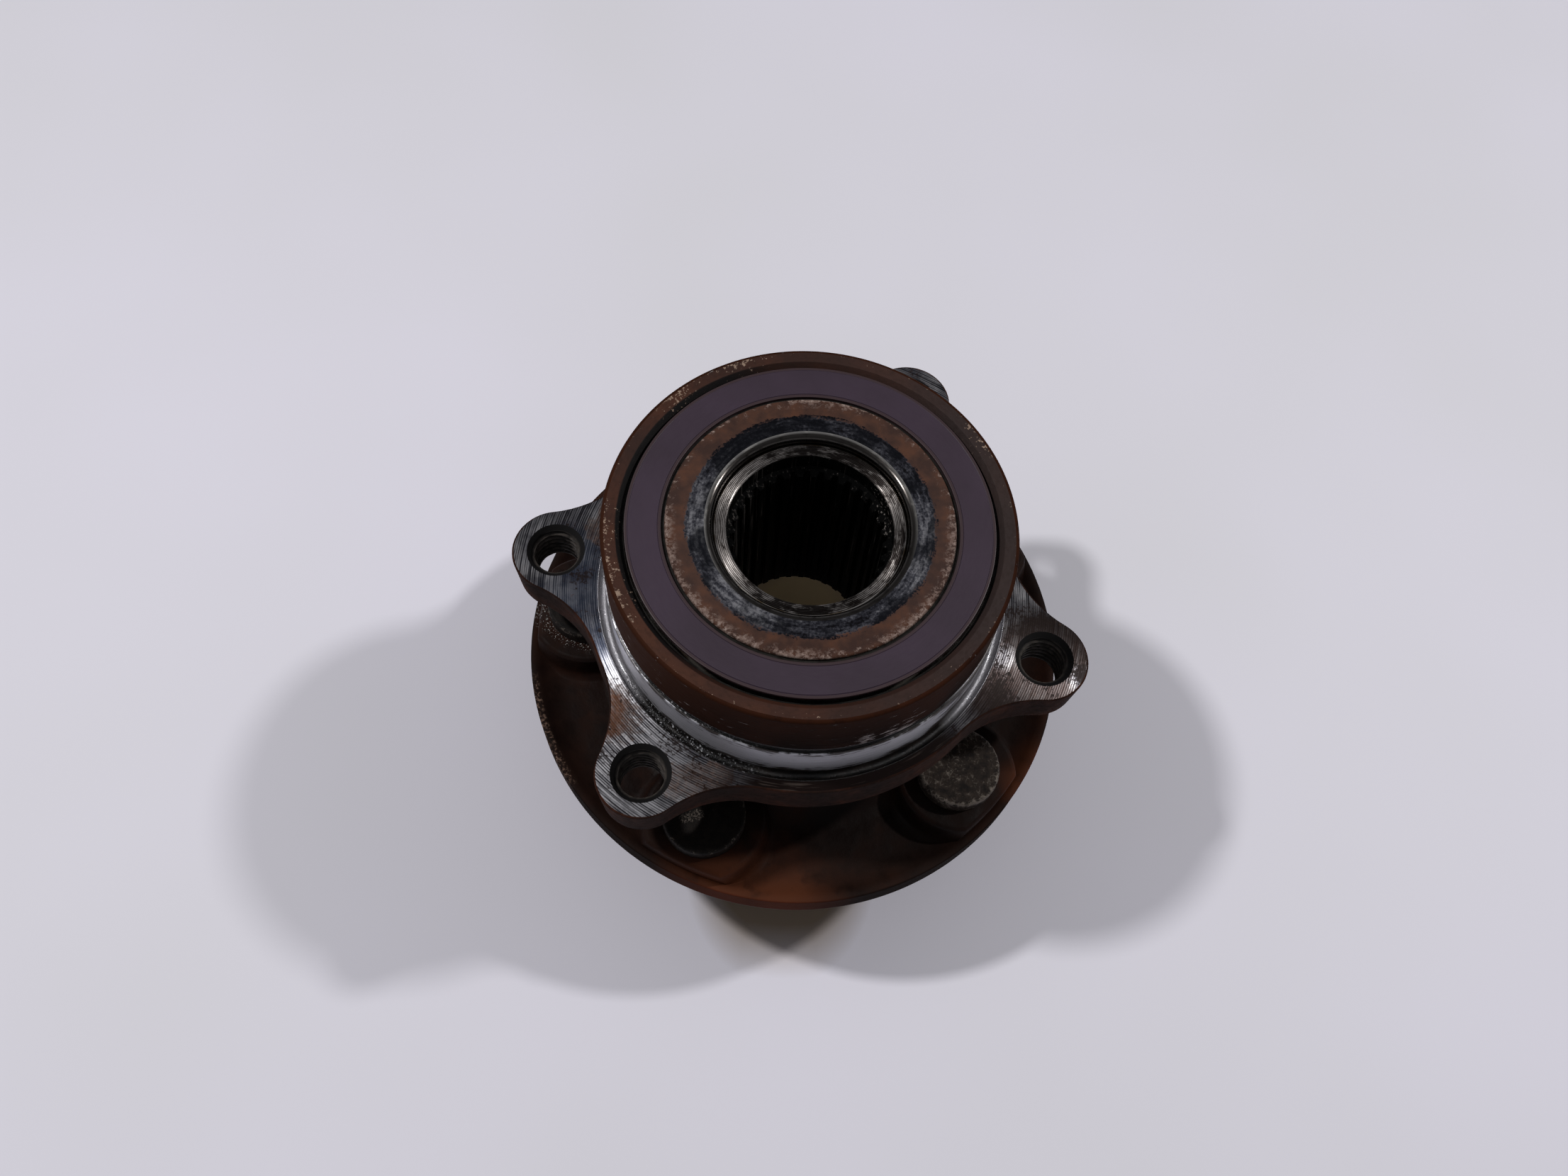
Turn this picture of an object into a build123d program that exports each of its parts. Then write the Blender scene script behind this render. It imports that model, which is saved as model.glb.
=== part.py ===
from build123d import *
from math import acos, atan2, cos, degrees, hypot, radians, sin, sqrt, tan
import os

os.makedirs("parts", exist_ok=True)

# A driven wheel hub bearing: a fixed outer ring that bolts to the knuckle, and a splined hub
# that turns in it on two rows of balls, with seals at both ends and five wheel studs.
# +Z is the hub axis and points inboard. The origin is the centre of the wheel-mounting face.

# Wheel flange
flange_r = 66.5
rim_z = 8.0              # thickness at the rim
web_z = 6.0              # thickness of the web between the studs
rim_lip = 1.5            # width of the flat lip round the rim
rim_scoop = 7.0          # radial length of the curve from the web up to the lip
collar_z = 15.5          # raised collar that the outboard seal runs on
collar_clear = 1.6       # from the stud heads in to the collar
collar_round = 1.0
edge_break = 0.5         # small chamfer on turned edges

# Wheel pilot and the recess for the axle nut
wheel_pilot_r = 28.2
wheel_pilot_length = 7.5
pilot_chamfer = 1.0
nut_recess_r = 24.5
nut_recess_mouth_r = 25.9
nut_flare_length = 5.5
nut_seat_z = 9.4

# Wheel studs, pressed in from the inboard side
stud_count = 5
stud_circle_r = 52.5
first_stud_angle = 181.0
stud_r = 6.0
knurl_r = 6.6
stud_head_r = 9.85
stud_head_height = 4.4
stud_head_round = 0.8
stud_reach = 39.4        # from the wheel face to the tip
stud_point_r = 4.6
stud_point_length = 2.4
boss_r = 14.5            # flat top of the boss round each stud
boss_z = 13.0
boss_draft = 12.0        # degrees, on the forged side of the boss
boss_edge_round = 1.2
boss_rim_clear = 2.1     # from the boss out to the flange edge

# Splined bore
spline_count = 33
spline_minor_r = 16.2
spline_depth = 1.0
spline_gap_mouth = 1.85  # width of a tooth space at the tooth tips
spline_gap_root = 0.85
spline_exit_clear = 0.3
spline_exit_length = 2.6
lead_in_r = 18.0
spindle_wall = 2.994     # from the lead-in out to the inner ring's seat
lead_in_length = 4.65
lead_in_cone = 1.6

# Ball rows
ball_r = 5.953
ball_count = 13
race_clear = 0.1         # from a ball to its races
pocket_clear = 0.15      # from a ball to its cage
row_spacing = 24.0
mid_z = 45.0             # halfway between the two rows

# Outer ring
knuckle_pilot_r = 45.0
outer_wall = 4.05        # metal behind the outer races
pilot_band_length = 11.1
groove_width = 2.5
groove_depth = 0.7
upper_side_step = 0.3
inboard_overhang = 14.3  # from the inboard row to the inboard face
outboard_overhang = 13.0
face_groove_width = 2.2
face_groove_depth = 1.3
end_chamfer = 0.8

# Mounting flange of the outer ring
ear_angles = (180.0, 240.0, 350.0, 70.0)
ear_hole_offset = 13.0   # from the knuckle pilot out to the hole centres
ear_end_r = 10.2
ear_low_end_r = 9.5
ear_flank_r = 27.0
ear_thickness = 12.2
ear_face_drop = 3.5      # from the middle of the bearing to the knuckle face
flange_root = 5.0        # radial width of the ring that carries the ears
ear_hole_r = 6.0
ear_mouth_r = 6.75
ear_low_round = 1.5
under_fillet = 2.5

# Inner ring
inner_ring_proud = 0.6   # above the inboard face of the outer ring
bore_round = 1.6
ring_chamfer = 0.6
spindle_recess = 2.25    # spindle end below the inner ring face

# Seals
case_wall = 0.6
case_depth = 5.5
case_recess = 1.9        # inboard case below the face of the outer ring
outboard_case_recess = 0.6
case_disc_width = 6.4
slinger_wall = 0.6
slinger_drop = 1.0       # slinger disc below the inner ring face
slinger_length = 5.4
slinger_edge_gap = 1.1
encoder_height = 0.8
encoder_edge_gap = 0.8
encoder_bore_gap = 0.1
lip_clear = 0.2
lip_width = 0.6
lip_pad = 0.7            # thickness of the rubber on the case
lip_pad_width = 3.3
axial_lip_lean = 1.4
radial_lip_reach = 1.6
neck_fillet_share = 0.41  # of the collar's face between the neck and the collar's edge

# Cages
cage_inside = 1.7        # from the pitch circle in to the cage's bore
cage_outside = 1.9
cage_back = 7.8          # from the ball centres to the closed side
cage_front = 3.2         # from the ball centres to the tips of the prongs
cage_slot_width = 1.8    # between the prongs of neighbouring pockets

# Radii and heights that follow from the driving dimensions
race_r = ball_r + race_clear
pitch_r = knuckle_pilot_r - outer_wall - race_r
inboard_row_z = mid_z + row_spacing / 2
outboard_row_z = mid_z - row_spacing / 2
seal_bore_r = pitch_r + 0.924 * ball_r
outer_land_r = pitch_r + 0.45 * ball_r
low_side_r = pitch_r - 0.94 * ball_r
neck_r = pitch_r - 0.57 * ball_r
inner_shoulder_r = pitch_r - 0.64 * ball_r
seat_r = lead_in_r + spindle_wall
outer_inboard_z = inboard_row_z + inboard_overhang
outer_outboard_z = outboard_row_z - outboard_overhang
inner_ring_z = outer_inboard_z + inner_ring_proud
spindle_z = inner_ring_z - spindle_recess
ear_circle_r = knuckle_pilot_r + ear_hole_offset
ear_face_z = mid_z - ear_face_drop
ear_low_z = ear_face_z - ear_thickness
collar_r = stud_circle_r - stud_head_r - collar_clear
neck_fillet = neck_fillet_share * (collar_r - collar_round - neck_r)


def race_reach(radius):
    """Axial distance from a row's centre to where its race meets a cylinder of this radius."""
    return sqrt(race_r**2 - (radius - pitch_r) ** 2)


def on_circle(radius, angle):
    """A point on a circle about the axis, by its angle in degrees."""
    return radius * cos(radians(angle)), radius * sin(radians(angle))


def axis_distance(edge):
    """Distance from the hub axis to the middle of an edge."""
    middle = edge @ 0.5
    return hypot(middle.X, middle.Y)


def ball_places(row_z):
    """Centres of one row's balls."""
    step = 360 / ball_count
    return [(*on_circle(pitch_r, index * step), row_z) for index in range(ball_count)]


# Outer ring: the turned body with both outer races, the seal bores and the knuckle pilot
root_r = knuckle_pilot_r + flange_root


def ear_edges(end_r):
    """Outline of one ear on +X: a round end whose concave flanks run into the flange root."""
    root_to_flank = root_r + ear_flank_r
    end_to_flank = end_r + ear_flank_r
    spread = acos(
        (ear_circle_r**2 + root_to_flank**2 - end_to_flank**2) / (2 * ear_circle_r * root_to_flank)
    )
    flank_x, flank_y = root_to_flank * cos(spread), root_to_flank * sin(spread)
    lean = atan2(flank_y, flank_x - ear_circle_r)
    halfway = (spread + lean) / 2
    root = on_circle(root_r, degrees(spread))
    flank = (flank_x - ear_flank_r * cos(halfway), flank_y - ear_flank_r * sin(halfway))
    end = (ear_circle_r + end_r * cos(lean), end_r * sin(lean))
    ThreePointArc(root, flank, end)
    ThreePointArc(end, (ear_circle_r + end_r, 0), (end[0], -end[1]))
    ThreePointArc((end[0], -end[1]), (flank[0], -flank[1]), (root[0], -root[1]))
    Line((root[0], -root[1]), root)


with BuildPart() as outer_ring:
    land_reach = race_reach(outer_land_r)
    bore_reach = race_reach(seal_bore_r)
    side_r = knuckle_pilot_r - upper_side_step
    band_top = ear_face_z + pilot_band_length
    groove_top = band_top + groove_width
    with BuildSketch(Plane.XZ):
        with BuildLine():
            Polyline(
                (seal_bore_r, inboard_row_z + bore_reach),
                (seal_bore_r, outer_inboard_z - edge_break),
                (seal_bore_r + edge_break, outer_inboard_z),
                (side_r - end_chamfer, outer_inboard_z),
                (side_r, outer_inboard_z - end_chamfer),
                (side_r, groove_top),
                (knuckle_pilot_r - groove_depth, groove_top),
                (knuckle_pilot_r - groove_depth, band_top),
                (knuckle_pilot_r, band_top),
                (knuckle_pilot_r, ear_face_z),
                (root_r, ear_face_z),
                (root_r, ear_low_z),
                (knuckle_pilot_r + under_fillet, ear_low_z),
            )
            TangentArc(
                (knuckle_pilot_r + under_fillet, ear_low_z),
                (knuckle_pilot_r, ear_low_z - under_fillet),
                tangent=(-1, 0),
            )
            Polyline(
                (knuckle_pilot_r, ear_low_z - under_fillet),
                (knuckle_pilot_r, outer_outboard_z + end_chamfer),
                (knuckle_pilot_r - end_chamfer, outer_outboard_z),
                (seal_bore_r + edge_break, outer_outboard_z),
                (seal_bore_r, outer_outboard_z + edge_break),
                (seal_bore_r, outboard_row_z - bore_reach),
            )
            ThreePointArc(
                (seal_bore_r, outboard_row_z - bore_reach),
                (pitch_r + race_r, outboard_row_z),
                (outer_land_r, outboard_row_z + land_reach),
            )
            Line(
                (outer_land_r, outboard_row_z + land_reach),
                (outer_land_r, inboard_row_z - land_reach),
            )
            ThreePointArc(
                (outer_land_r, inboard_row_z - land_reach),
                (pitch_r + race_r, inboard_row_z),
                (seal_bore_r, inboard_row_z + bore_reach),
            )
        make_face()
    revolve(axis=Axis.Z)
    # Four forged ears, narrower and rounded at their low edge
    for angle in ear_angles:
        for height, end_r in ((ear_face_z, ear_end_r), (ear_low_z, ear_low_end_r)):
            with BuildSketch(Plane.XY.offset(height).rotated((0, 0, angle))):
                with BuildLine():
                    ear_edges(end_r)
                make_face()
        loft(ruled=True)
    low_edges = outer_ring.edges().filter_by_position(Axis.Z, ear_low_z - 1e-4, ear_low_z + 1e-4)
    fillet(low_edges.sort_by(axis_distance)[1:], ear_low_round)
    # Round-bottomed groove in the knuckle face, at the foot of the pilot
    with BuildSketch(Plane.XZ):
        with BuildLine():
            ThreePointArc(
                (knuckle_pilot_r, ear_face_z),
                (knuckle_pilot_r + face_groove_width / 2, ear_face_z - face_groove_depth),
                (knuckle_pilot_r + face_groove_width, ear_face_z),
            )
            Line((knuckle_pilot_r + face_groove_width, ear_face_z), (knuckle_pilot_r, ear_face_z))
        make_face()
    revolve(axis=Axis.Z, mode=Mode.SUBTRACT)
    # Threaded holes, drawn at the thread's major diameter, with a countersunk mouth
    with BuildSketch(Plane.XY.offset(ear_face_z)):
        with Locations(*[on_circle(ear_circle_r, angle) for angle in ear_angles]):
            Circle(ear_hole_r)
    extrude(amount=-ear_thickness, mode=Mode.SUBTRACT)
    hole_edges = outer_ring.edges().filter_by(GeomType.CIRCLE)
    hole_edges = hole_edges.filter_by(lambda edge: abs(edge.radius - ear_hole_r) < 1e-4)
    chamfer(hole_edges.group_by(Axis.Z)[-1], ear_mouth_r - ear_hole_r)
outer_ring.part.label = "outer_ring"
export_step(outer_ring.part, "parts/outer_ring.step")


# Hub spindle: wheel flange, pilot, splined bore, outboard inner race and inner ring seat
with BuildPart() as stud_bosses:
    with BuildSketch():
        with PolarLocations(stud_circle_r, stud_count, start_angle=first_stud_angle):
            Circle(boss_r + boss_z * tan(radians(boss_draft)))
    extrude(amount=boss_z, taper=boss_draft)
    with BuildSketch():
        Circle(flange_r - boss_rim_clear)
    extrude(amount=boss_z, mode=Mode.INTERSECT)
    fillet(stud_bosses.edges().group_by(Axis.Z)[-1], boss_edge_round)

with BuildPart() as hub_spindle:
    low_reach = race_reach(low_side_r)
    neck_reach = race_reach(neck_r)
    web_start_r = collar_r + collar_z - collar_round - web_z
    lip_r = flange_r - rim_lip
    with BuildSketch(Plane.XZ):
        with BuildLine():
            Polyline(
                (lead_in_r, spindle_z),
                (seat_r - edge_break, spindle_z),
                (seat_r, spindle_z - edge_break),
                (seat_r, mid_z),
                (low_side_r, mid_z),
                (low_side_r, outboard_row_z + low_reach),
            )
            ThreePointArc(
                (low_side_r, outboard_row_z + low_reach),
                (pitch_r - race_r, outboard_row_z),
                (neck_r, outboard_row_z - neck_reach),
            )
            Line((neck_r, outboard_row_z - neck_reach), (neck_r, collar_z + neck_fillet))
            TangentArc(
                (neck_r, collar_z + neck_fillet), (neck_r + neck_fillet, collar_z), tangent=(0, -1)
            )
            Line((neck_r + neck_fillet, collar_z), (collar_r - collar_round, collar_z))
            TangentArc(
                (collar_r - collar_round, collar_z),
                (collar_r, collar_z - collar_round),
                tangent=(1, 0),
            )
            TangentArc(
                (collar_r, collar_z - collar_round), (web_start_r, web_z), tangent=(0, -1)
            )
            Line((web_start_r, web_z), (lip_r - rim_scoop, web_z))
            TangentArc((lip_r - rim_scoop, web_z), (lip_r, rim_z), tangent=(1, 0))
            Polyline(
                (lip_r, rim_z),
                (flange_r - edge_break, rim_z),
                (flange_r, rim_z - edge_break),
                (flange_r, edge_break),
                (flange_r - edge_break, 0),
                (wheel_pilot_r, 0),
                (wheel_pilot_r, pilot_chamfer - wheel_pilot_length),
                (wheel_pilot_r - pilot_chamfer, -wheel_pilot_length),
                (nut_recess_mouth_r, -wheel_pilot_length),
                (nut_recess_r, nut_flare_length - wheel_pilot_length),
                (nut_recess_r, nut_seat_z),
                (spline_minor_r, nut_seat_z),
                (spline_minor_r, spindle_z - lead_in_length - lead_in_cone),
                (lead_in_r, spindle_z - lead_in_length),
                (lead_in_r, spindle_z),
            )
        make_face()
    revolve(axis=Axis.Z)
    add(stud_bosses.part)
    # Stud holes, size on size with the studs' knurls
    with BuildSketch():
        with PolarLocations(stud_circle_r, stud_count, start_angle=first_stud_angle):
            Circle(knurl_r)
    extrude(amount=boss_z, mode=Mode.SUBTRACT)
    # Involute splines, drawn with straight flanks, open at both ends of the bore
    spline_start_z = nut_seat_z + spline_exit_length
    with BuildSketch(Plane.XY.offset(spline_start_z)):
        with PolarLocations(spline_minor_r, spline_count):
            Polygon(
                (-spline_depth, -spline_gap_mouth / 2),
                (0, -spline_gap_mouth / 2),
                (spline_depth, -spline_gap_root / 2),
                (spline_depth, spline_gap_root / 2),
                (0, spline_gap_mouth / 2),
                (-spline_depth, spline_gap_mouth / 2),
                align=None,
            )
    extrude(amount=spindle_z - lead_in_length - spline_start_z, mode=Mode.SUBTRACT)
    with BuildSketch(Plane.XY.offset(nut_seat_z)):
        Circle(spline_minor_r + spline_depth + spline_exit_clear)
    extrude(amount=spline_exit_length, mode=Mode.SUBTRACT)
hub_spindle.part.label = "hub_spindle"
export_step(hub_spindle.part, "parts/hub_spindle.step")


# Wheel studs: knurled from the head to the wheel face, held by the press fit, threaded below
with BuildPart() as wheel_stud:
    head_z = boss_z + stud_head_height
    with BuildSketch(Plane.XZ):
        with BuildLine():
            Polyline(
                (0, head_z),
                (stud_head_r - stud_head_round, head_z),
                (stud_head_r, head_z - stud_head_round),
                (stud_head_r, boss_z),
                (knurl_r, boss_z),
                (knurl_r, 0),
                (stud_r, 0),
                (stud_r, stud_point_length - stud_reach),
                (stud_point_r, -stud_reach),
                (0, -stud_reach),
                close=True,
            )
        make_face()
    revolve(axis=Axis.Z)

with BuildPart() as wheel_studs:
    with PolarLocations(stud_circle_r, stud_count, start_angle=first_stud_angle):
        add(wheel_stud.part)
wheel_studs.part.label = "wheel_studs"
export_step(wheel_studs.part, "parts/wheel_studs.step")


# Inner ring: carries the inboard inner race, pressed on the spindle against its shoulder
with BuildPart() as inner_ring:
    low_reach = race_reach(low_side_r)
    shoulder_reach = race_reach(inner_shoulder_r)
    with BuildSketch(Plane.XZ):
        with BuildLine():
            Polyline(
                (seat_r, mid_z + ring_chamfer),
                (seat_r + ring_chamfer, mid_z),
                (low_side_r, mid_z),
                (low_side_r, inboard_row_z - low_reach),
            )
            ThreePointArc(
                (low_side_r, inboard_row_z - low_reach),
                (pitch_r - race_r, inboard_row_z),
                (inner_shoulder_r, inboard_row_z + shoulder_reach),
            )
            Polyline(
                (inner_shoulder_r, inboard_row_z + shoulder_reach),
                (inner_shoulder_r, inner_ring_z - ring_chamfer),
                (inner_shoulder_r - ring_chamfer, inner_ring_z),
                (seat_r + bore_round, inner_ring_z),
            )
            TangentArc(
                (seat_r + bore_round, inner_ring_z),
                (seat_r, inner_ring_z - bore_round),
                tangent=(-1, 0),
            )
            Line((seat_r, inner_ring_z - bore_round), (seat_r, mid_z + ring_chamfer))
        make_face()
    revolve(axis=Axis.Z)
inner_ring.part.label = "inner_ring"
export_step(inner_ring.part, "parts/inner_ring.step")


# Balls and their crown cages, which are closed towards the middle of the bearing
for row, row_z, back in (("inboard", inboard_row_z, -1), ("outboard", outboard_row_z, 1)):
    for number, place in enumerate(ball_places(row_z), start=1):
        with BuildPart() as ball:
            with Locations(place):
                Sphere(ball_r)
        ball.part.label = f"{row}_ball_{number:02d}"
        export_step(ball.part, f"parts/{row}_ball_{number:02d}.step")

    with BuildPart() as cage:
        with BuildSketch(Plane.XY.offset(row_z + back * cage_back)):
            Circle(pitch_r + cage_outside)
            Circle(pitch_r - cage_inside, mode=Mode.SUBTRACT)
        extrude(amount=-back * (cage_back + cage_front))
        with Locations(*ball_places(row_z)):
            Sphere(ball_r + pocket_clear, mode=Mode.SUBTRACT)
        with BuildSketch(Plane.XY.offset(row_z - back * cage_front)):
            with PolarLocations(pitch_r, ball_count, start_angle=180 / ball_count):
                Rectangle(2 * (cage_inside + cage_outside), cage_slot_width)
        extrude(amount=back * cage_front, mode=Mode.SUBTRACT)
    cage.part.label = f"{row}_cage"
    export_step(cage.part, f"parts/{row}_cage.step")


# Seal cases: thin cups pressed into both ends of the outer ring
case_disc_r = seal_bore_r - case_disc_width
inboard_case_z = outer_inboard_z - case_recess - case_depth
outboard_case_z = outer_outboard_z + outboard_case_recess
for row, case_z in (("inboard", inboard_case_z), ("outboard", outboard_case_z)):
    with BuildPart() as seal_case:
        with BuildSketch(Plane.XZ):
            with BuildLine():
                Polyline(
                    (case_disc_r, case_z),
                    (seal_bore_r, case_z),
                    (seal_bore_r, case_z + case_depth),
                    (seal_bore_r - case_wall, case_z + case_depth),
                    (seal_bore_r - case_wall, case_z + case_wall),
                    (case_disc_r, case_z + case_wall),
                    close=True,
                )
            make_face()
        revolve(axis=Axis.Z)
    seal_case.part.label = f"{row}_seal_case"
    export_step(seal_case.part, f"parts/{row}_seal_case.step")


# Slinger: an L-section ring pressed on the inner ring, with the encoder ring bonded on it
slinger_z = inner_ring_z - slinger_drop
sleeve_r = inner_shoulder_r + slinger_wall
with BuildPart() as slinger:
    slinger_edge_r = seal_bore_r - slinger_edge_gap
    with BuildSketch(Plane.XZ):
        with BuildLine():
            Polyline(
                (inner_shoulder_r, slinger_z),
                (slinger_edge_r, slinger_z),
                (slinger_edge_r, slinger_z - slinger_wall),
                (sleeve_r, slinger_z - slinger_wall),
                (sleeve_r, slinger_z - slinger_length),
                (inner_shoulder_r, slinger_z - slinger_length),
                close=True,
            )
        make_face()
    revolve(axis=Axis.Z)
slinger.part.label = "slinger"
export_step(slinger.part, "parts/slinger.step")

with BuildPart() as encoder_ring:
    with BuildSketch(Plane.XY.offset(slinger_z)):
        Circle(seal_bore_r - encoder_edge_gap)
        Circle(sleeve_r + encoder_bore_gap, mode=Mode.SUBTRACT)
    extrude(amount=encoder_height)
encoder_ring.part.label = "encoder_ring"
export_step(encoder_ring.part, "parts/encoder_ring.step")


# Seal lips: rubber on the inner edge of each case, one lip on the shaft and one on a face
inboard_disc_faces = (inboard_case_z, inboard_case_z + case_wall)
outboard_disc_faces = (outboard_case_z + case_wall, outboard_case_z)
for row, disc_faces, shaft_r, run_z in (
    ("inboard", inboard_disc_faces, sleeve_r, slinger_z - slinger_wall),
    ("outboard", outboard_disc_faces, neck_r, collar_z),
):
    back_z, face_z = disc_faces
    way = 1 if face_z > back_z else -1
    pad_r = case_disc_r + lip_pad_width
    pad_z = face_z + way * lip_pad
    with BuildPart() as seal_lips:
        with BuildSketch(Plane.XZ):
            with BuildLine():
                Polyline(
                    (case_disc_r, back_z),
                    (case_disc_r, face_z),
                    (pad_r, face_z),
                    (pad_r, pad_z),
                    (pad_r + axial_lip_lean, run_z - way * lip_clear),
                    (pad_r + axial_lip_lean - lip_width, run_z - way * lip_clear),
                    (pad_r - lip_width, pad_z),
                    (case_disc_r, pad_z),
                    (shaft_r + lip_clear + lip_width, face_z + way * radial_lip_reach),
                    (shaft_r + lip_clear, face_z + way * radial_lip_reach),
                    (case_disc_r - lip_pad, back_z),
                    close=True,
                )
            make_face()
        revolve(axis=Axis.Z)
    seal_lips.part.label = f"{row}_seal_lips"
    export_step(seal_lips.part, f"parts/{row}_seal_lips.step")
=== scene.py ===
from math import acos, atan2, ceil, cos, degrees, pi, radians, sin

import bmesh
import bpy
import numpy as np
from mathutils import Matrix, Vector


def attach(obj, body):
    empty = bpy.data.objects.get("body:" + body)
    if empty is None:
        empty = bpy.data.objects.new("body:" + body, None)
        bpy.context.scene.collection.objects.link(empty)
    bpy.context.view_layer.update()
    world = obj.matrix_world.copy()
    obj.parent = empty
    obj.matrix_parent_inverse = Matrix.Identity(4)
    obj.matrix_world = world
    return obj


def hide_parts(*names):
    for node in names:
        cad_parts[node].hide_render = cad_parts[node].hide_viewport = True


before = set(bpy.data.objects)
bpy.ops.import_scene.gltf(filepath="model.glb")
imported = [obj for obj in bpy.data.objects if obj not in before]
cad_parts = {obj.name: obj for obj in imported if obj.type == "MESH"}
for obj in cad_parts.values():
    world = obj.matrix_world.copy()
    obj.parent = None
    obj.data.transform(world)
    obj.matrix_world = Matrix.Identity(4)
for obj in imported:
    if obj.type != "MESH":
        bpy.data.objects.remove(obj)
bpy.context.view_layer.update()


# Outer ring: a forging of bearing steel that stays still and carries both outer races. It is
# turned all over except for the sides of its four ears, which keep their forged skin. The ears
# are faced in the lathe and tapped for the bolts that hold the ring to the knuckle.
mm = 0.001
pitch_r = 34.897
race_r = 6.053
race_edge = 24.68
race_shoulder = 63.73
inboard_row_z = 57.0
outboard_row_z = 33.0
seal_bore_r = 40.397
seal_top_z = 69.4
ring_top_z = 71.3
ring_low_z = 20.0
mouth_chamfer = 1.1
side_r = 44.7
pilot_r = 45.0
band_top_z = 52.6
groove_top_z = 55.1
relief_r = 44.3
ear_face_z = 41.5
ear_low_z = 29.3
ear_angles = (180.0, 240.0, 350.0, 70.0)
ear_circle_r = 58.0
ear_end_r = 10.2
ear_low_end_r = 9.5
ear_flank_r = 27.0
ear_root_r = 50.0
ear_edge_width = 1.2
face_groove_r = 46.1
face_groove_half = 1.1
face_groove_depth = 1.3
knuckle_thread_r = 6.0
knuckle_thread_pitch = 1.75
knuckle_thread_depth = 0.92
knuckle_mouth_r = 6.75


def linear(hex_colour):
    """An sRGB hex colour, in the linear values that the shaders take."""
    parts = [int(hex_colour[i : i + 2], 16) / 255 for i in (1, 3, 5)]
    return (*(c / 12.92 if c <= 0.04045 else ((c + 0.055) / 1.055) ** 2.4 for c in parts), 1.0)


def output_of(source):
    """A node stands for its first output in use; a socket stands for itself."""
    if isinstance(source, bpy.types.Node):
        return next(output for output in source.outputs if output.enabled)
    return source


def add_node(tree, kind, *inputs, stops=(), **named):
    """Adds one node. Inputs go to its sockets in order, or by name where the name has a capital;
    a name in small letters is a setting. An input is a value, a hex colour, a node or a socket."""
    node = tree.nodes.new(kind)
    for name, value in named.items():
        if name[0].islower():
            setattr(node, name, value)
    given = list(zip([socket for socket in node.inputs if socket.enabled], inputs))
    for name, value in named.items():
        if name[0].isupper():
            given.append((node.inputs[name.replace("_", " ")], value))
    for socket, value in given:
        if isinstance(value, (bpy.types.Node, bpy.types.NodeSocket)):
            tree.links.new(output_of(value), socket)
        else:
            socket.default_value = linear(value) if isinstance(value, str) else value
    for index, (place, colour) in enumerate(stops):
        ramp = node.color_ramp.elements
        stop = ramp[index] if index < 2 else ramp.new(place)
        stop.position = place
        stop.color = linear(colour)
    return node


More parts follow.
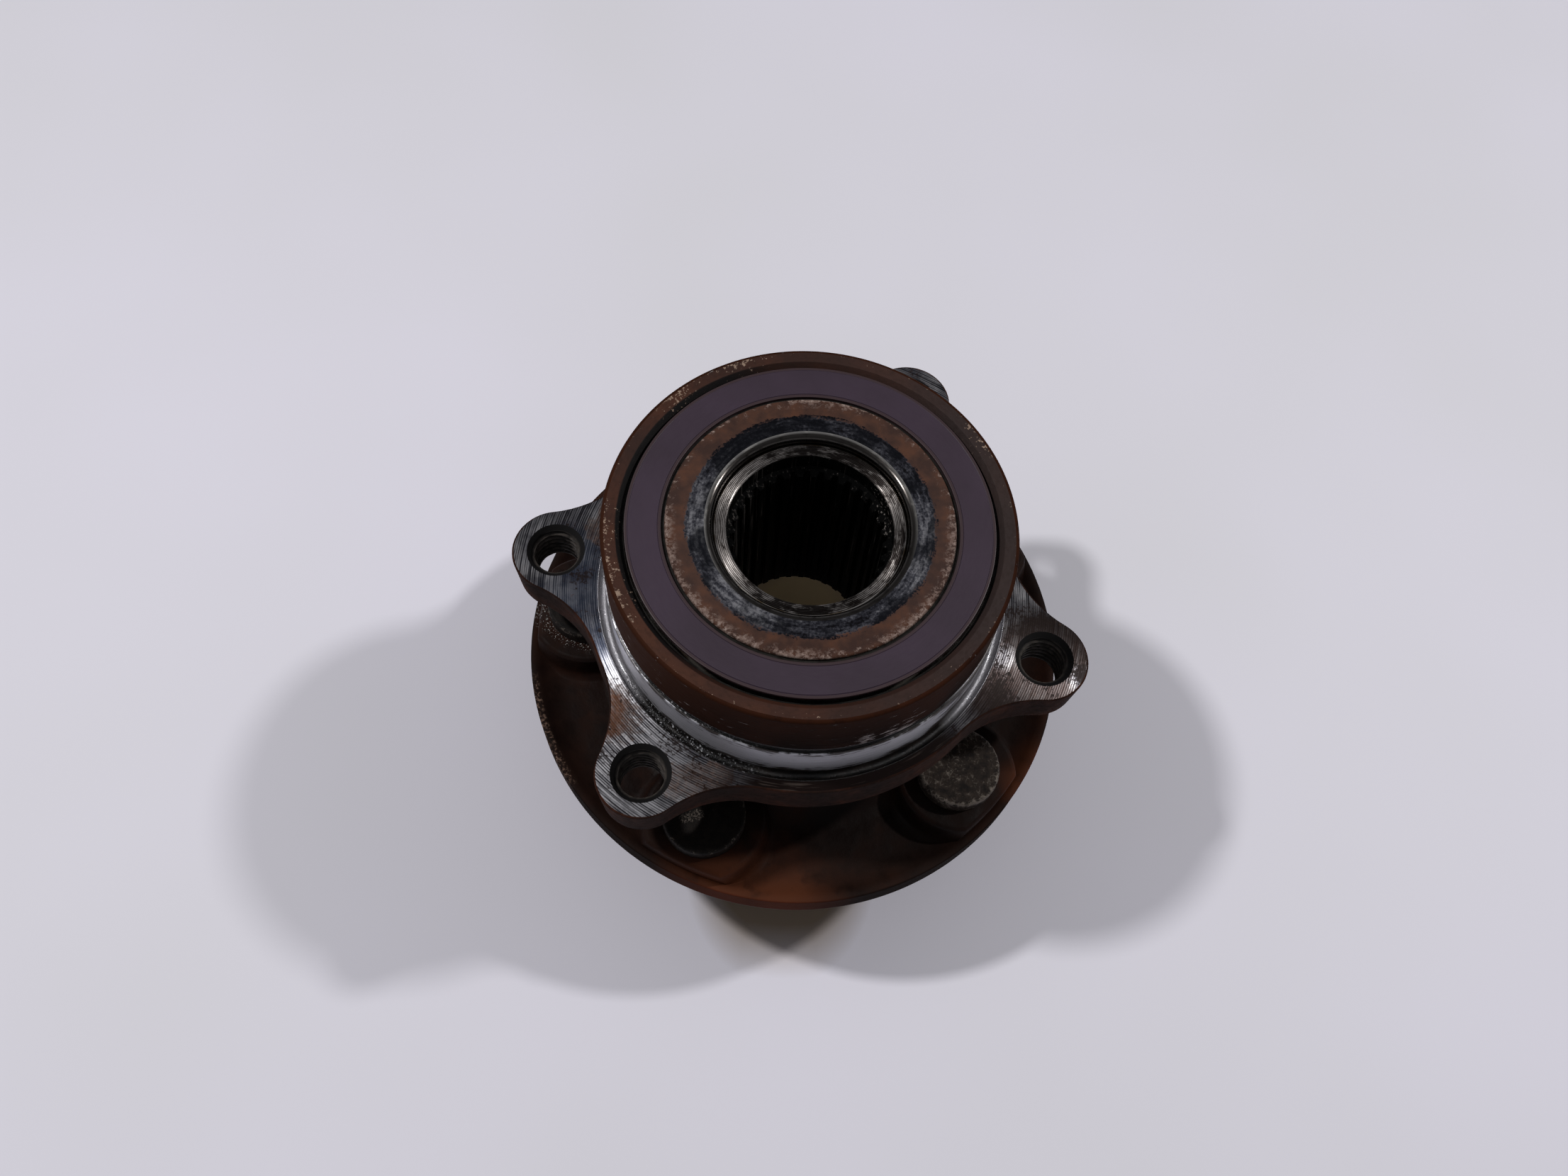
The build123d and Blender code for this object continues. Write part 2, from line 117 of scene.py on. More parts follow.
class Finish:
    """A material being made, and where its surface lies, in mm. A pattern's scale is one over the
    size of its grain in mm."""

    def __init__(self, name, **constants):
        self.material = bpy.data.materials.new(name)
        self.material.use_nodes = True
        self.tree = self.material.node_tree
        self.tree.nodes.clear()
        self.shader = self.add("BsdfPrincipled", **constants)
        self.add("OutputMaterial", self.shader)
        metres = self.add("TexCoord").outputs["Object"]
        self.place = self.add("VectorMath", metres, Scale=1 / mm, operation="SCALE")
        self.flat = self.add("VectorMath", self.place, (1, 1, 0), operation="MULTIPLY")
        self.radius = self.add("VectorMath", self.flat, operation="LENGTH")
        self.height = self.add("SeparateXYZ", self.place).outputs["Z"]
        self.out_and_up = self.add("Math", self.radius, self.height)
        self.bearing = self.add("VectorMath", self.flat, operation="NORMALIZE")

    def add(self, kind, *inputs, **named):
        return add_node(self.tree, "ShaderNode" + kind, *inputs, **named)

    def drawn_out(self, length, spacing, detail, roughness=0.5):
        """Noise drawn out round the axis: its marks' length at the pilot's radius, and how far
        apart they lie, in mm."""
        turn = self.add("VectorMath", self.bearing, Scale=pilot_r / length, operation="SCALE")
        rise = self.add("Math", self.out_and_up, 1 / spacing, operation="MULTIPLY")
        place = self.add("VectorMath", turn, self.add("CombineXYZ", Z=rise))
        return self.add("TexNoise", place, 1.0, detail, roughness)

    def ripple(self, along, step):
        """A wave between -1 and 1 with one crest in each step, in mm."""
        turns = self.add("Math", along, 2 * pi / step, operation="MULTIPLY")
        return self.add("Math", turns, operation="SINE")

    def facing(self, bearing):
        """1 on the side that faces a bearing in degrees, falling to -1 on the side behind it."""
        side = (cos(radians(bearing)), sin(radians(bearing)), 0)
        return self.add("VectorMath", self.bearing, side, operation="DOT_PRODUCT")

    def near(self, spots, far, close, most=1.0, least=0.0):
        """The most within the close distance of the nearest spot, down to the least at the far
        one, in mm seen along the axis. A spot is (radius, bearing in degrees)."""
        nearest = 1000.0
        for radius, bearing in spots:
            middle = (radius * cos(radians(bearing)), radius * sin(radians(bearing)), 0)
            distance = self.add("VectorMath", self.flat, middle, operation="DISTANCE")
            nearest = self.add("Math", distance, nearest, operation="MINIMUM")
        return self.add("MapRange", nearest, far, close, least, most)

    def total(self, *parts):
        """The sum of its parts, each a value or a (value, share) pair."""
        so_far = 0.0
        for part in parts:
            value, share = part if isinstance(part, tuple) else (part, 1.0)
            so_far = self.add("Math", value, share, so_far, operation="MULTIPLY_ADD")
        return so_far

    def shows(self, patterns, start, whole, most=1.0):
        """How far a mark shows, from nothing to the most, between two levels of its pattern or
        of the total of a list of them."""
        level = self.total(*patterns) if isinstance(patterns, list) else patterns
        return self.add("MapRange", level, start, whole, 0.0, most)

    def coated(self, ground, *coats):
        """A ground colour with coats laid over it in turn, each (how much, colour)."""
        for cover, colour in coats:
            ground = self.add("Mix", cover, ground, colour, data_type="RGBA")
        return ground

    def lathe_tangent(self):
        """Spreads the highlight across the marks of turning or grinding."""
        around = self.add("VectorMath", (0, 0, 1), self.bearing, operation="CROSS_PRODUCT")
        spaces = {"vector_type": "VECTOR", "convert_from": "OBJECT", "convert_to": "WORLD"}
        around = self.add("VectorTransform", around, **spaces)
        surface = self.add("NewGeometry").outputs["Normal"]
        return self.add("VectorMath", around, surface, operation="CROSS_PRODUCT")

    def give(self, **sockets):
        """Links what was made to the shader's sockets, and gives the finished material."""
        for name, source in sockets.items():
            self.tree.links.new(output_of(source), self.shader.inputs[name.replace("_", " ")])
        return self.material


def section_outline(corners):
    """Points of a turned section. A corner is (r, z, round, finish); r may differ by column."""
    width = max(np.size(corner[0]) for corner in corners)
    spots = []
    for r, z, _, _ in corners:
        spots.append(np.column_stack([np.broadcast_to(r, width), np.broadcast_to(z, width)]))
    rows = []
    for index, (_, _, rounding, finish) in enumerate(corners):
        here = spots[index]
        if not rounding:
            rows.append((here, finish))
            continue
        back = spots[index - 1] - here
        on = spots[(index + 1) % len(corners)] - here
        back /= np.linalg.norm(back, axis=1)[:, None]
        on /= np.linalg.norm(on, axis=1)[:, None]
        half = np.arccos(np.clip((back * on).sum(1), -0.9999, 0.9999)) / 2
        cut = (rounding / np.tan(half))[:, None]
        middle = (back + on) / np.linalg.norm(back + on, axis=1)[:, None]
        centre = here + middle * (rounding / np.sin(half))[:, None]
        first, last = here + back * cut - centre, here + on * cut - centre
        swing = (pi - 2 * half)[:, None]
        # Degrees for each step round: small corners need few. A guard row just outside each end
        # of the rounding keeps its shading off the flats.
        step = 45 if rounding < 0.35 else 30 if rounding < 2 else 12
        steps = max(2, ceil(degrees(float(swing.max())) / step))
        guard = min(0.12 * rounding, 0.1)
        rows.append((here + back * (cut + guard), finish))
        for k in range(steps + 1):
            t = k / steps
            swung = (np.sin((1 - t) * swing) * first + np.sin(t * swing) * last) / np.sin(swing)
            rows.append((centre + swung, finish))
        rows.append((here + on * (cut + guard), finish))
    return rows


def arc(centre_r, centre_z, radius, start, stop, steps, finish):
    """Corners along an arc, by angles in degrees from +r towards +z."""
    angles = np.radians(np.linspace(start, stop, steps + 1))
    return [(centre_r + radius * cos(a), centre_z + radius * sin(a), 0, finish) for a in angles]


def keep_mesh(piece, mesh=None):
    """Gives the piece a finished mesh, or the one its modifiers make, with crisp edges."""
    same_point, crisp_edge = 0.0001 * mm, radians(33)
    old = piece.data
    if mesh is None:
        evaluated = piece.evaluated_get(bpy.context.evaluated_depsgraph_get())
        mesh = bpy.data.meshes.new_from_object(evaluated)
    piece.modifiers.clear()
    piece.data = mesh
    if old.users == 0:
        bpy.data.meshes.remove(old)
    shape = bmesh.new()
    shape.from_mesh(mesh)
    bmesh.ops.remove_doubles(shape, verts=shape.verts, dist=same_point)
    bmesh.ops.recalc_face_normals(shape, faces=shape.faces)
    shape.to_mesh(mesh)
    shape.free()
    mesh.shade_smooth()
    mesh.set_sharp_from_angle(angle=crisp_edge)
    return piece


def in_scene(name, data):
    """A new object in the scene."""
    piece = bpy.data.objects.new(name, data)
    bpy.context.scene.collection.objects.link(piece)
    return piece


def turned(name, bearings, corners, finishes, closed=True, centre=(0.0, 0.0)):
    """A turned piece about Z or about a centre: bearings in degrees, its section's corners in mm."""
    rows = section_outline(corners)
    width = len(bearings)
    turn = np.radians(bearings)
    grid = np.empty((len(rows), width, 3))
    for row, (points, _) in enumerate(rows):
        grid[row, :, 0] = points[:, 0] * np.cos(turn) + centre[0]
        grid[row, :, 1] = points[:, 0] * np.sin(turn) + centre[1]
        grid[row, :, 2] = points[:, 1]
    last = len(rows) if closed else len(rows) - 1
    low = np.arange(last)[:, None] * width
    high = (np.arange(last)[:, None] + 1) % len(rows) * width
    here = np.arange(width)[None, :]
    there = (here + 1) % width
    quads = np.stack([low + here, low + there, high + there, high + here], axis=-1).reshape(-1, 4)
    mesh = bpy.data.meshes.new(name)
    mesh.from_pydata((grid.reshape(-1, 3) * mm).tolist(), [], quads.tolist())
    for finish in finishes:
        mesh.materials.append(finish)
    finish_rows = np.array([finish for _, finish in rows[:last]], np.int32)
    mesh.polygons.foreach_set("material_index", np.repeat(finish_rows, width))
    return keep_mesh(in_scene(name, mesh), mesh)


def combine(piece, tool, operation):
    """Cuts, joins or crops a piece with a second solid of the same finishes, which is used up."""
    step = piece.modifiers.new("combine", "BOOLEAN")
    step.operation = operation
    step.object = tool
    step.solver = "EXACT"
    keep_mesh(piece)
    bpy.data.objects.remove(tool)
    return piece


def ear_outline(bearings, end_r):
    """How far the ears' outline lies from the axis, at each bearing in degrees."""
    to_flank, end_to_flank = ear_root_r + ear_flank_r, end_r + ear_flank_r
    spread = acos((ear_circle_r**2 + to_flank**2 - end_to_flank**2) / (2 * ear_circle_r * to_flank))
    share = end_r / end_to_flank
    meet_x = ear_circle_r + (to_flank * cos(spread) - ear_circle_r) * share
    meet = atan2(to_flank * sin(spread) * share, meet_x)
    outline = np.full(len(bearings), ear_root_r)
    for ear in ear_angles:
        off = np.radians(np.abs((bearings - ear + 180) % 360 - 180))
        within_end = np.maximum(end_r**2 - (ear_circle_r * np.sin(off)) ** 2, 0)
        end = ear_circle_r * np.cos(off) + np.sqrt(within_end)
        lean = spread - off
        within_flank = np.maximum(ear_flank_r**2 - (to_flank * np.sin(lean)) ** 2, 0)
        flank = to_flank * np.cos(lean) - np.sqrt(within_flank)
        outline = np.where(off < meet, end, np.where(off < spread, flank, outline))
    return outline


def threaded(start_z, end_z, pitch, major_r, depth, bearings, rows_per_turn, fades):
    """Rows of (z, radii) of a right-hand 60 degree thread; it fades over some turns at each end."""
    crest, flank = 1 / 8, 5 / 8
    count = round((end_z - start_z) / pitch * rows_per_turn)
    for z in np.linspace(start_z, end_z, count + 1):
        from_crest = np.abs(2 * ((z / pitch - bearings / 360) % 1) - 1)
        groove = np.clip((from_crest - crest) / flank, 0, 1)
        ends = min(1.0, (z - start_z) / (fades[0] * pitch), (end_z - z) / (fades[1] * pitch))
        yield z, major_r - depth * groove * max(ends, 0.0)


# Ears' turned faces: bright, oiled, bruised blue and rusted, with brown grease in the front.
steel = Finish("face_turned_steel", Anisotropic=0.95, Specular_IOR_Level=0.15)
marks = steel.ripple(steel.radius, 0.5)
depths = steel.drawn_out(11.25, 0.556, 4.0, 0.6)
broken = steel.drawn_out(2.045, 0.417, 4.0, 0.6)
torn = steel.add("MapRange", steel.drawn_out(13.24, 0.556, 4.0, 0.6), 0.36, 0.64, -0.16, 0.16)
patchy = steel.add("TexNoise", steel.place, 1 / 7.7, 4.0)
cloudy = steel.add("ValToRGB", patchy, stops=((0.34, "#bcb9ba"), (0.5, "#8f8d90"), (0.66, "#625f66")))
satin = steel.near([(58.0, 240), (52.0, 226)], 17.0, 9.0)
cloudy = steel.coated(cloudy, (steel.shows(satin, 0.0, 1.0, 0.7), "#e2e0e4"))
lines = steel.shows([torn, depths, (marks, 0.16), (broken, 0.3)], 0.44, 0.84)
oiled = steel.shows(steel.add("TexNoise", steel.place, 1 / 3.23, 5.0), 0.5, 0.68, 0.5)
blue = steel.near([(49.9, 191), (52.9, 193), (51.4, 205), (52.0, 182)], 11.0, 2.0, 0.42)
wiped = steel.near([(48.6, 347), (67.0, 348)], 4.0, 1.0, 0.18, 0.9)
tarnish = steel.near([(58.0, 350), (54.0, 340)], 16.0, 10.0, wiped)
stain = steel.near([(52.0, 226), (51.4, 223), (52.8, 228)], 7.0, 0.5, 0.42)
brown = steel.near([(53.0, 251), (55.0, 248), (51.0, 255), (48.5, 172), (47.5, 166)], 5.0, 3.0, 0.5)
stain = steel.add("Math", stain, brown, operation="MAXIMUM")
oxide = steel.add("TexNoise", steel.place, 1 / 1.667, 6.0, 0.62)
rust = steel.shows([oxide, stain], 0.6, 0.8, 0.66)
specks = steel.drawn_out(0.75, 0.667, 5.0, 0.62)
tones = steel.add("ValToRGB", specks, stops=((0.36, "#2b1c15"), (0.52, "#49352b"), (0.68, "#6e5344")))
blooms = steel.add("TexNoise", steel.place, 1 / 2.86, 4.0, 0.6)
bloomed = steel.near([(53.6, 225.5), (51.8, 224), (55.5, 227.5)], 5.0, 1.0, 0.42)
bloomed = steel.shows([blooms, bloomed], 0.66, 0.92, 0.8)
pitted = steel.near([(50, 356), (50, 348), (55, 342), (55, 337), (68, 348)], 11.0, 3.0, 0.16)
pitted = steel.shows([pitted, specks, patchy], 1.12, 1.2, 0.9)
film = steel.shows([steel.facing(291), (depths, 0.16)], 0.88, 0.98)
scuffed = steel.near([(49.6, 268), (49.8, 275)], 4.5, 1.0, 0.1)
scuffed = steel.shows([scuffed, depths], 0.6, 0.66)
matt = film
for mark in (rust, bloomed, pitted):
    matt = steel.add("Math", matt, mark, operation="MAXIMUM")
turned_face = steel.give(
    Base_Color=steel.coated(
        "#2f2e33",
        (lines, cloudy),
        (oiled, "#26242a"),
        (blue, "#46546c"),
        (tarnish, "#2c2320"),
        (rust, tones),
        (bloomed, steel.coated("#1f130d", (specks, "#70452b"))),
        (pitted, "#1d120e"),
        (film, steel.coated("#170f0d", (scuffed, "#3a322e"))),
    ),
    Metallic=steel.add("MapRange", matt, 0.0, 1.0, 1.0, 0.3),
    Roughness=steel.add("MapRange", steel.total(broken, matt, satin), 0.35, 1.9, 0.26, 0.56),
    Normal=steel.add("Bump", Height=steel.total(broken, (marks, 0.5)), Distance=0.014 * mm),
    Tangent=steel.lathe_tangent(),
)

# Ground band that locates the ring in the knuckle: matt grey, fretted dark along both edges.
steel = Finish("ground_pilot_band", Anisotropic=0.6)
hairlines = steel.drawn_out(15.0, 0.0714, 3.0)
patches = steel.drawn_out(5.625, 0.909, 6.0, 0.66)
band_middle_z = 47.2
at_edge = steel.add("Math", steel.height, band_middle_z, operation="SUBTRACT")
at_edge = steel.shows(steel.add("Math", at_edge, operation="ABSOLUTE"), 2.4, 5.4, 0.2)
dragged = steel.near([(pilot_r, 345), (pilot_r, 335), (pilot_r, 325)], 9.0, 3.0, 0.16)
fretted = steel.shows([patches, at_edge, dragged], 0.62, 0.7)
clean = steel.add("ValToRGB", hairlines, stops=((0.35, "#bab9be"), (0.65, "#929197")))
ground_band = steel.give(
    Base_Color=steel.coated(clean, (fretted, "#211815")),
    Metallic=steel.add("MapRange", fretted, 0.0, 1.0, 0.7, 0.2),
    Roughness=steel.add("MapRange", hairlines, 0.3, 0.7, 0.34, 0.46),
    Normal=steel.add("Bump", Height=hairlines, Distance=0.004 * mm),
    Tangent=steel.lathe_tangent(),
)

# Groove at the band's foot: black, wet and beaded with grease, rubbed bare on both sides, with
# pale specks that are grit and painted glints on the beads.
grease = Finish("greased_groove", Specular_IOR_Level=0.25, Coat_Roughness=0.05)
beads = grease.add("TexNoise", grease.place, 1 / 0.588, 5.0, 0.66)
smears = grease.drawn_out(3.214, 0.714, 4.0)
black = grease.add("ValToRGB", smears, stops=((0.42, "#060505"), (0.7, "#191310")))
gritty = grease.shows(grease.facing(241), 0.9, 0.99)
grit = grease.shows(beads, 0.5, 0.62, gritty)
# Pale specks among the beads: grit, and painted glints.
grit_and_glints = grease.shows(beads, 0.57, 0.62, gritty)
bare = grease.add("Math", grease.facing(197), grease.facing(350), operation="MAXIMUM")
bare = grease.shows(bare, 0.86, 0.95, 0.85)
greased_groove = grease.give(
    Base_Color=grease.coated(black, (bare, "#9b999d"), (grit_and_glints, "#b4b3b7")),
    Roughness=grease.add("MapRange", beads, 0.3, 0.7, 0.2, 0.55),
    Metallic=bare,
    Coat_Weight=grease.add("MapRange", grit, 0.0, 0.5, 0.2, 1.0),
    Normal=grease.add("Bump", Height=grease.total(beads, (grit, 1.5)), Distance=0.16 * mm),
)

# Inboard face: evenly rusted, chipped pale along its outer edge, caked black in the bore's mouth.
rusty = Finish("rusted_turned_face", Specular_IOR_Level=0.14)
broad = rusty.add("TexNoise", rusty.place, 1 / 20.0, 3.0)
close = rusty.drawn_out(1.5, 0.833, 5.0, 0.6)
coat = rusty.add("ValToRGB", broad, stops=((0.36, "#2b1913"), (0.5, "#351d14"), (0.64, "#412416")))
dull = rusty.shows(rusty.facing(12), 0.1, 0.8, 0.85)
darker = rusty.shows(close, 0.45, 0.7, 0.4)
outer_corner = side_r + ring_top_z
at_edge = rusty.shows(rusty.out_and_up, outer_corner - 2.4, outer_corner - 1.0, 0.08)
chipped = [(44.6, 203), (44.4, 212), (43.8, 190), (44.0, 141), (44.7, 118), (44.6, 40)]
chipped = rusty.near(chipped, 9.0, 2.0, 0.12)
chips = rusty.add("TexNoise", rusty.place, 1 / 0.833, 6.0, 0.68)
chips = rusty.shows([chips, at_edge, chipped], 0.7, 0.75, 0.8)
mouth_r = seal_bore_r + mouth_chamfer
mouth = rusty.shows(rusty.radius, mouth_r + 0.1, mouth_r - 0.2)
caked = rusty.shows(rusty.facing(178), 0.1, 0.6, mouth)
relief = rusty.total(close, rusty.add("TexNoise", rusty.place, 1 / 0.333, 5.0))
rusted_face = rusty.give(
    Base_Color=rusty.coated(
        coat, (dull, "#28201f"), (darker, "#1c110c"), (caked, "#0a0707"), (chips, "#8f7a6a")
    ),
    Roughness=rusty.add("MapRange", close, 0.3, 0.7, 0.55, 0.72),
    Normal=rusty.add("Bump", Height=relief, Distance=0.03 * mm),
)

# Side of the ring above its band: dark brown, rubbed bright in front by the knuckle's bore.
rusty = Finish("rusted_turned_side", Specular_IOR_Level=0.02)
broad = rusty.add("TexNoise", rusty.place, 1 / 14.3, 4.0)
drawn = rusty.drawn_out(3.75, 0.769, 6.0, 0.65)
upward = rusty.shows([rusty.height, (drawn, 6.0)], 58.0, 73.0)
coat = rusty.add("ValToRGB", upward, stops=((0.0, "#0e0604"), (1.0, "#2a150c")))
redder = rusty.shows(broad, 0.44, 0.64, 0.5)
darker = rusty.shows(drawn, 0.5, 0.7, 0.6)
browner = rusty.shows(rusty.facing(206), 0.6, 0.95, 0.75)
brightened = rusty.near([(44.9, 305), (44.9, 293), (44.9, 300)], 5.0, 0.5, 0.17)
brightened = rusty.shows(rusty.height, 63.0, 59.0, brightened)
scuffs = rusty.shows([drawn, brightened], 0.66, 0.71)
rusted_side = rusty.give(
    Base_Color=rusty.coated(
        coat, (redder, "#321a10"), (darker, "#0b0605"), (browner, "#331c12"), (scuffs, "#8d8582")
    ),
    Metallic=rusty.shows(scuffs, 0.0, 1.0, 0.7),
    Roughness=rusty.add("MapRange", drawn, 0.3, 0.75, 0.72, 0.55),
    Normal=rusty.add("Bump", Height=drawn, Distance=0.03 * mm),
)

# Forged skin of the ears' sides and the ring's foot: black scale turned to rust brown.
scale = Finish("rusted_forging_scale", Specular_IOR_Level=0.08)
broad = scale.add("TexNoise", scale.place, 1 / 9.09, 4.0)
coarse = scale.add("TexNoise", scale.place, 1 / 1.82, 6.0, 0.6)
pores = scale.add("TexNoise", scale.place, 1 / 0.385, 4.0, 0.65)
coat = scale.add("ValToRGB", broad, stops=((0.3, "#1c110d"), (0.5, "#281711"), (0.68, "#3a1f14")))
darker = scale.shows(coarse, 0.45, 0.62, 0.5)
chips = scale.shows(pores, 0.68, 0.77, 0.5)
forged_skin = scale.give(
    Base_Color=scale.coated(coat, (darker, "#170f0d"), (chips, "#6d4c3b")),
    Roughness=scale.add("MapRange", coarse, 0.3, 0.7, 0.8, 0.95),
    Normal=scale.add("Bump", Height=scale.total(coarse, (pores, 0.3)), Distance=0.16 * mm),
)

# Ground and greased steel inside the bearing: races, lands and seal seats.
race = Finish("ground_race_greased", Metallic=1.0, Coat_Weight=0.5, Coat_Roughness=0.1)
film = race.add("TexNoise", race.place, 1 / 2.86, 4.0)
greased_race = race.give(
    Base_Color=race.add("ValToRGB", film, stops=((0.4, "#8c8884"), (0.65, "#4a3d2c"))),
    Roughness=race.add("MapRange", film, 0.35, 0.7, 0.16, 0.35),
)

# Tapped hole: black with oil, its crests rubbed paler by the bolt.
tapping = Finish("tapped_hole_oiled", Specular_IOR_Level=0.2)
paleness = tapping.add("TexNoise", tapping.place, 1 / 1.43, 5.0)
paleness = tapping.add("MapRange", paleness, 0.35, 0.65, 0.25, 1.0)
holes = [(ear_circle_r, ear) for ear in ear_angles]
crest = tapping.near(holes, knuckle_thread_r - 0.25, knuckle_thread_r - 0.8, paleness)
tapped_hole = tapping.give(
    Base_Color=tapping.coated("#080606", (crest, "#4a443f")),
    Roughness=tapping.add("MapRange", crest, 0.0, 1.0, 0.7, 0.5),
)

# The columns of the ring's mesh stand closer where the ears' ends turn into their flanks.
ring_bearings = [np.arange(0, 360, 0.75)]
for ear in ear_angles:
    for side in (-1, 1):
        ring_bearings.append(ear + side * np.arange(6.0, 15.0, 0.3))
ring_bearings = np.unique(np.round(np.concatenate(ring_bearings) % 360, 2))
top_outline = ear_outline(ring_bearings, ear_end_r)
low_outline = ear_outline(ring_bearings, ear_low_end_r)
RACE, FACE, SIDE, BAND, GROOVE, EAR, SKIN, HOLE = range(8)
face_groove = []
for a in np.radians(np.linspace(180, 360, 9)):
    groove_r = face_groove_r + face_groove_half * cos(a)
    face_groove.append((groove_r, ear_face_z + face_groove_depth * sin(a), 0, GROOVE))
outer_ring = turned(
    "outer_ring_body",
    ring_bearings,
    [
        (seal_bore_r, seal_top_z, 0, GROOVE),
        (seal_bore_r, ring_top_z - mouth_chamfer, 0.15, FACE),
        (mouth_r, ring_top_z, 0.2, FACE),
        (side_r, ring_top_z, 0.75, SIDE),
        (side_r, groove_top_z, 0.2, GROOVE),
        (relief_r, groove_top_z, 0.15, GROOVE),
        (relief_r, band_top_z, 0.15, GROOVE),
        (pilot_r, band_top_z, 0.3, BAND),
        *face_groove,
        (face_groove_r + face_groove_half + 0.15, ear_face_z, 0, EAR),
        (top_outline - ear_edge_width, ear_face_z, 0, EAR),
        (top_outline, ear_face_z, 0.4, SKIN),
        (low_outline, ear_low_z, 1.5, SKIN),
        (pilot_r, ear_low_z, 2.5, SKIN),
        (pilot_r, ring_low_z, 0.6, SKIN),
        (seal_bore_r, ring_low_z, 0.4, RACE),
        *arc(pitch_r, outboard_row_z, race_r, -race_edge, race_shoulder, 7, RACE),
        *arc(pitch_r, inboard_row_z, race_r, -race_shoulder, race_edge, 7, RACE),
    ],
    [
        greased_race,
        rusted_face,
        rusted_side,
        ground_band,
        greased_groove,
        turned_face,
        forged_skin,
        tapped_hole,
    ],
)

# Each knuckle bolt's hole is cut by a tap, from the faced side right through the ear.
tap_bearings = np.arange(0, 360, 10)
tap_reach = (ear_low_z - 0.3, ear_face_z + 0.01)
tap_size = (knuckle_thread_pitch, knuckle_thread_r, knuckle_thread_depth)
tap_overrun = 1.0
for ear in ear_angles:
    teeth = []
    for z, radii in threaded(*tap_reach, *tap_size, tap_bearings, 9, (0.2, 0.2)):
        teeth.append((np.maximum(radii, knuckle_mouth_r - (ear_face_z - z)), z, 0, HOLE))
    tap = turned(
        "tap",
        tap_bearings,
        [
            (0, ear_low_z - tap_overrun, 0, HOLE),
            (knuckle_thread_r, ear_low_z - tap_overrun, 0, HOLE),
            *teeth,
            (knuckle_mouth_r + tap_overrun, ear_face_z + tap_overrun, 0, HOLE),
            (0, ear_face_z + tap_overrun, 0, HOLE),
        ],
        outer_ring.data.materials,
        closed=False,
        centre=(ear_circle_r * cos(radians(ear)), ear_circle_r * sin(radians(ear))),
    )
    combine(outer_ring, tap, "DIFFERENCE")
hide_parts("outer_ring")
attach(outer_ring, "knuckle_side")


# Seals, pressed in the ring's two ends: zinc-plated sheet steel cups with nitrile rubber lips
# bonded on their inner edges. The sheet steel turns near black from 66 mm up.
seals = Finish("plated_seal_sheet", Specular_IOR_Level=0.1)
dull = seals.add("TexNoise", seals.place, 1 / 2.0, 4.0)
plated = seals.add("ValToRGB", dull, stops=((0.38, "#6f6b65"), (0.65, "#382f28")))
near_black_above = seals.shows(seals.height, 66.0, 67.4, 0.92)
seal_sheet = seals.give(
    Base_Color=seals.coated(plated, (near_black_above, "#0d0a09")),
    Metallic=seals.add("MapRange", near_black_above, 0.0, 0.92, 1.0, 0.0),
    Roughness=seals.add("MapRange", seals.total(dull, near_black_above), 0.35, 1.5, 0.3, 0.7),
)
seals = Finish("nitrile_seal_rubber", Specular_IOR_Level=0.4)
bloom = seals.add("TexNoise", seals.place, 1 / 1.11, 4.0)
seal_rubber = seals.give(
    Base_Color=seals.add("ValToRGB", bloom, stops=((0.3, "#141313"), (0.7, "#231f1e"))),
    Roughness=seals.add("MapRange", bloom, 0.35, 0.65, 0.4, 0.6),
    Normal=seals.add("Bump", Height=seals.add("TexNoise", seals.place, 1 / 0.167, 2.0), Distance=0.01 * mm),
)
for side in ("outboard", "inboard"):
    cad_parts[f"{side}_seal_case"].material_slots[0].material = seal_sheet
    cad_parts[f"{side}_seal_lips"].material_slots[0].material = seal_rubber


# Hub spindle: a forging with the wheel flange, the wheel pilot, the outboard inner race and the
# splined bore for the drive shaft. Its races, faces and pilot are turned and ground; the inboard
# side of the flange and the bosses round the studs keep their forged skin.
flange_r = 66.5
rim_z = 8.0
web_z = 6.0
scoop_start_r = 58.0
scoop_radius = 13.25
collar_r = 41.05
collar_z = 15.5
web_curve = 8.35
neck_r = 31.5
neck_fillet = 3.5
low_side_r = 29.3
seat_r = 20.994
shoulder_z = 45.0
spindle_z = 69.65
lead_in_r = 18.0
cone_top_z = 65.0
cone_low_z = 63.4
spline_count = 33
spline_minor_r = 16.2
spline_root_r = 17.2
spline_space_root = 1.416
spline_space_mouth = 3.273
spline_exit_r = 17.5
spline_exit_z = 12.0
nut_seat_z = 9.4
nut_recess_r = 24.5
nut_mouth_r = 25.9
nut_flare_z = -2.0
wheel_pilot_r = 28.2
wheel_pilot_z = -7.5
stud_count = 5
stud_circle_r = 52.5
first_stud = radians(181)
boss_r = 14.5
boss_z = 13.0
boss_foot_r = 15.99
boss_root_r = 19.6
boss_clip_r = 64.4
stud_hole_r = 6.6

# Inboard side of the flange: rusted scale, redder at the dry rim, near black with grease round
# the collar and the studs, and beaded wet beside one boss. It is darkened at the front right by
# painted shade; the beads carry grit and painted glints, and the rim's inner edge worn specks and
# painted glints.
scale = Finish("rusted_flange_forging", Specular_IOR_Level=0.06, Coat_Roughness=0.06)
broad = scale.add("TexNoise", scale.place, 1 / 22.2, 5.0)
coat = scale.add("ValToRGB", broad, stops=((0.34, "#160c09"), (0.5, "#1f110c"), (0.66, "#2e180f")))
coarse = scale.add("TexNoise", scale.place, 1 / 6.25, 5.0, 0.55)
pores = scale.add("TexNoise", scale.place, 1 / 0.5, 5.0, 0.65)
rim = scale.shows(scale.radius, 50.0, 66.0)
dry = scale.near([(64.0, 263), (64.0, 274)], 19.0, 3.0)
streak = scale.near([(65.1, 337.5), (65.0, 333), (65.0, 341)], 6.0, 1.0)
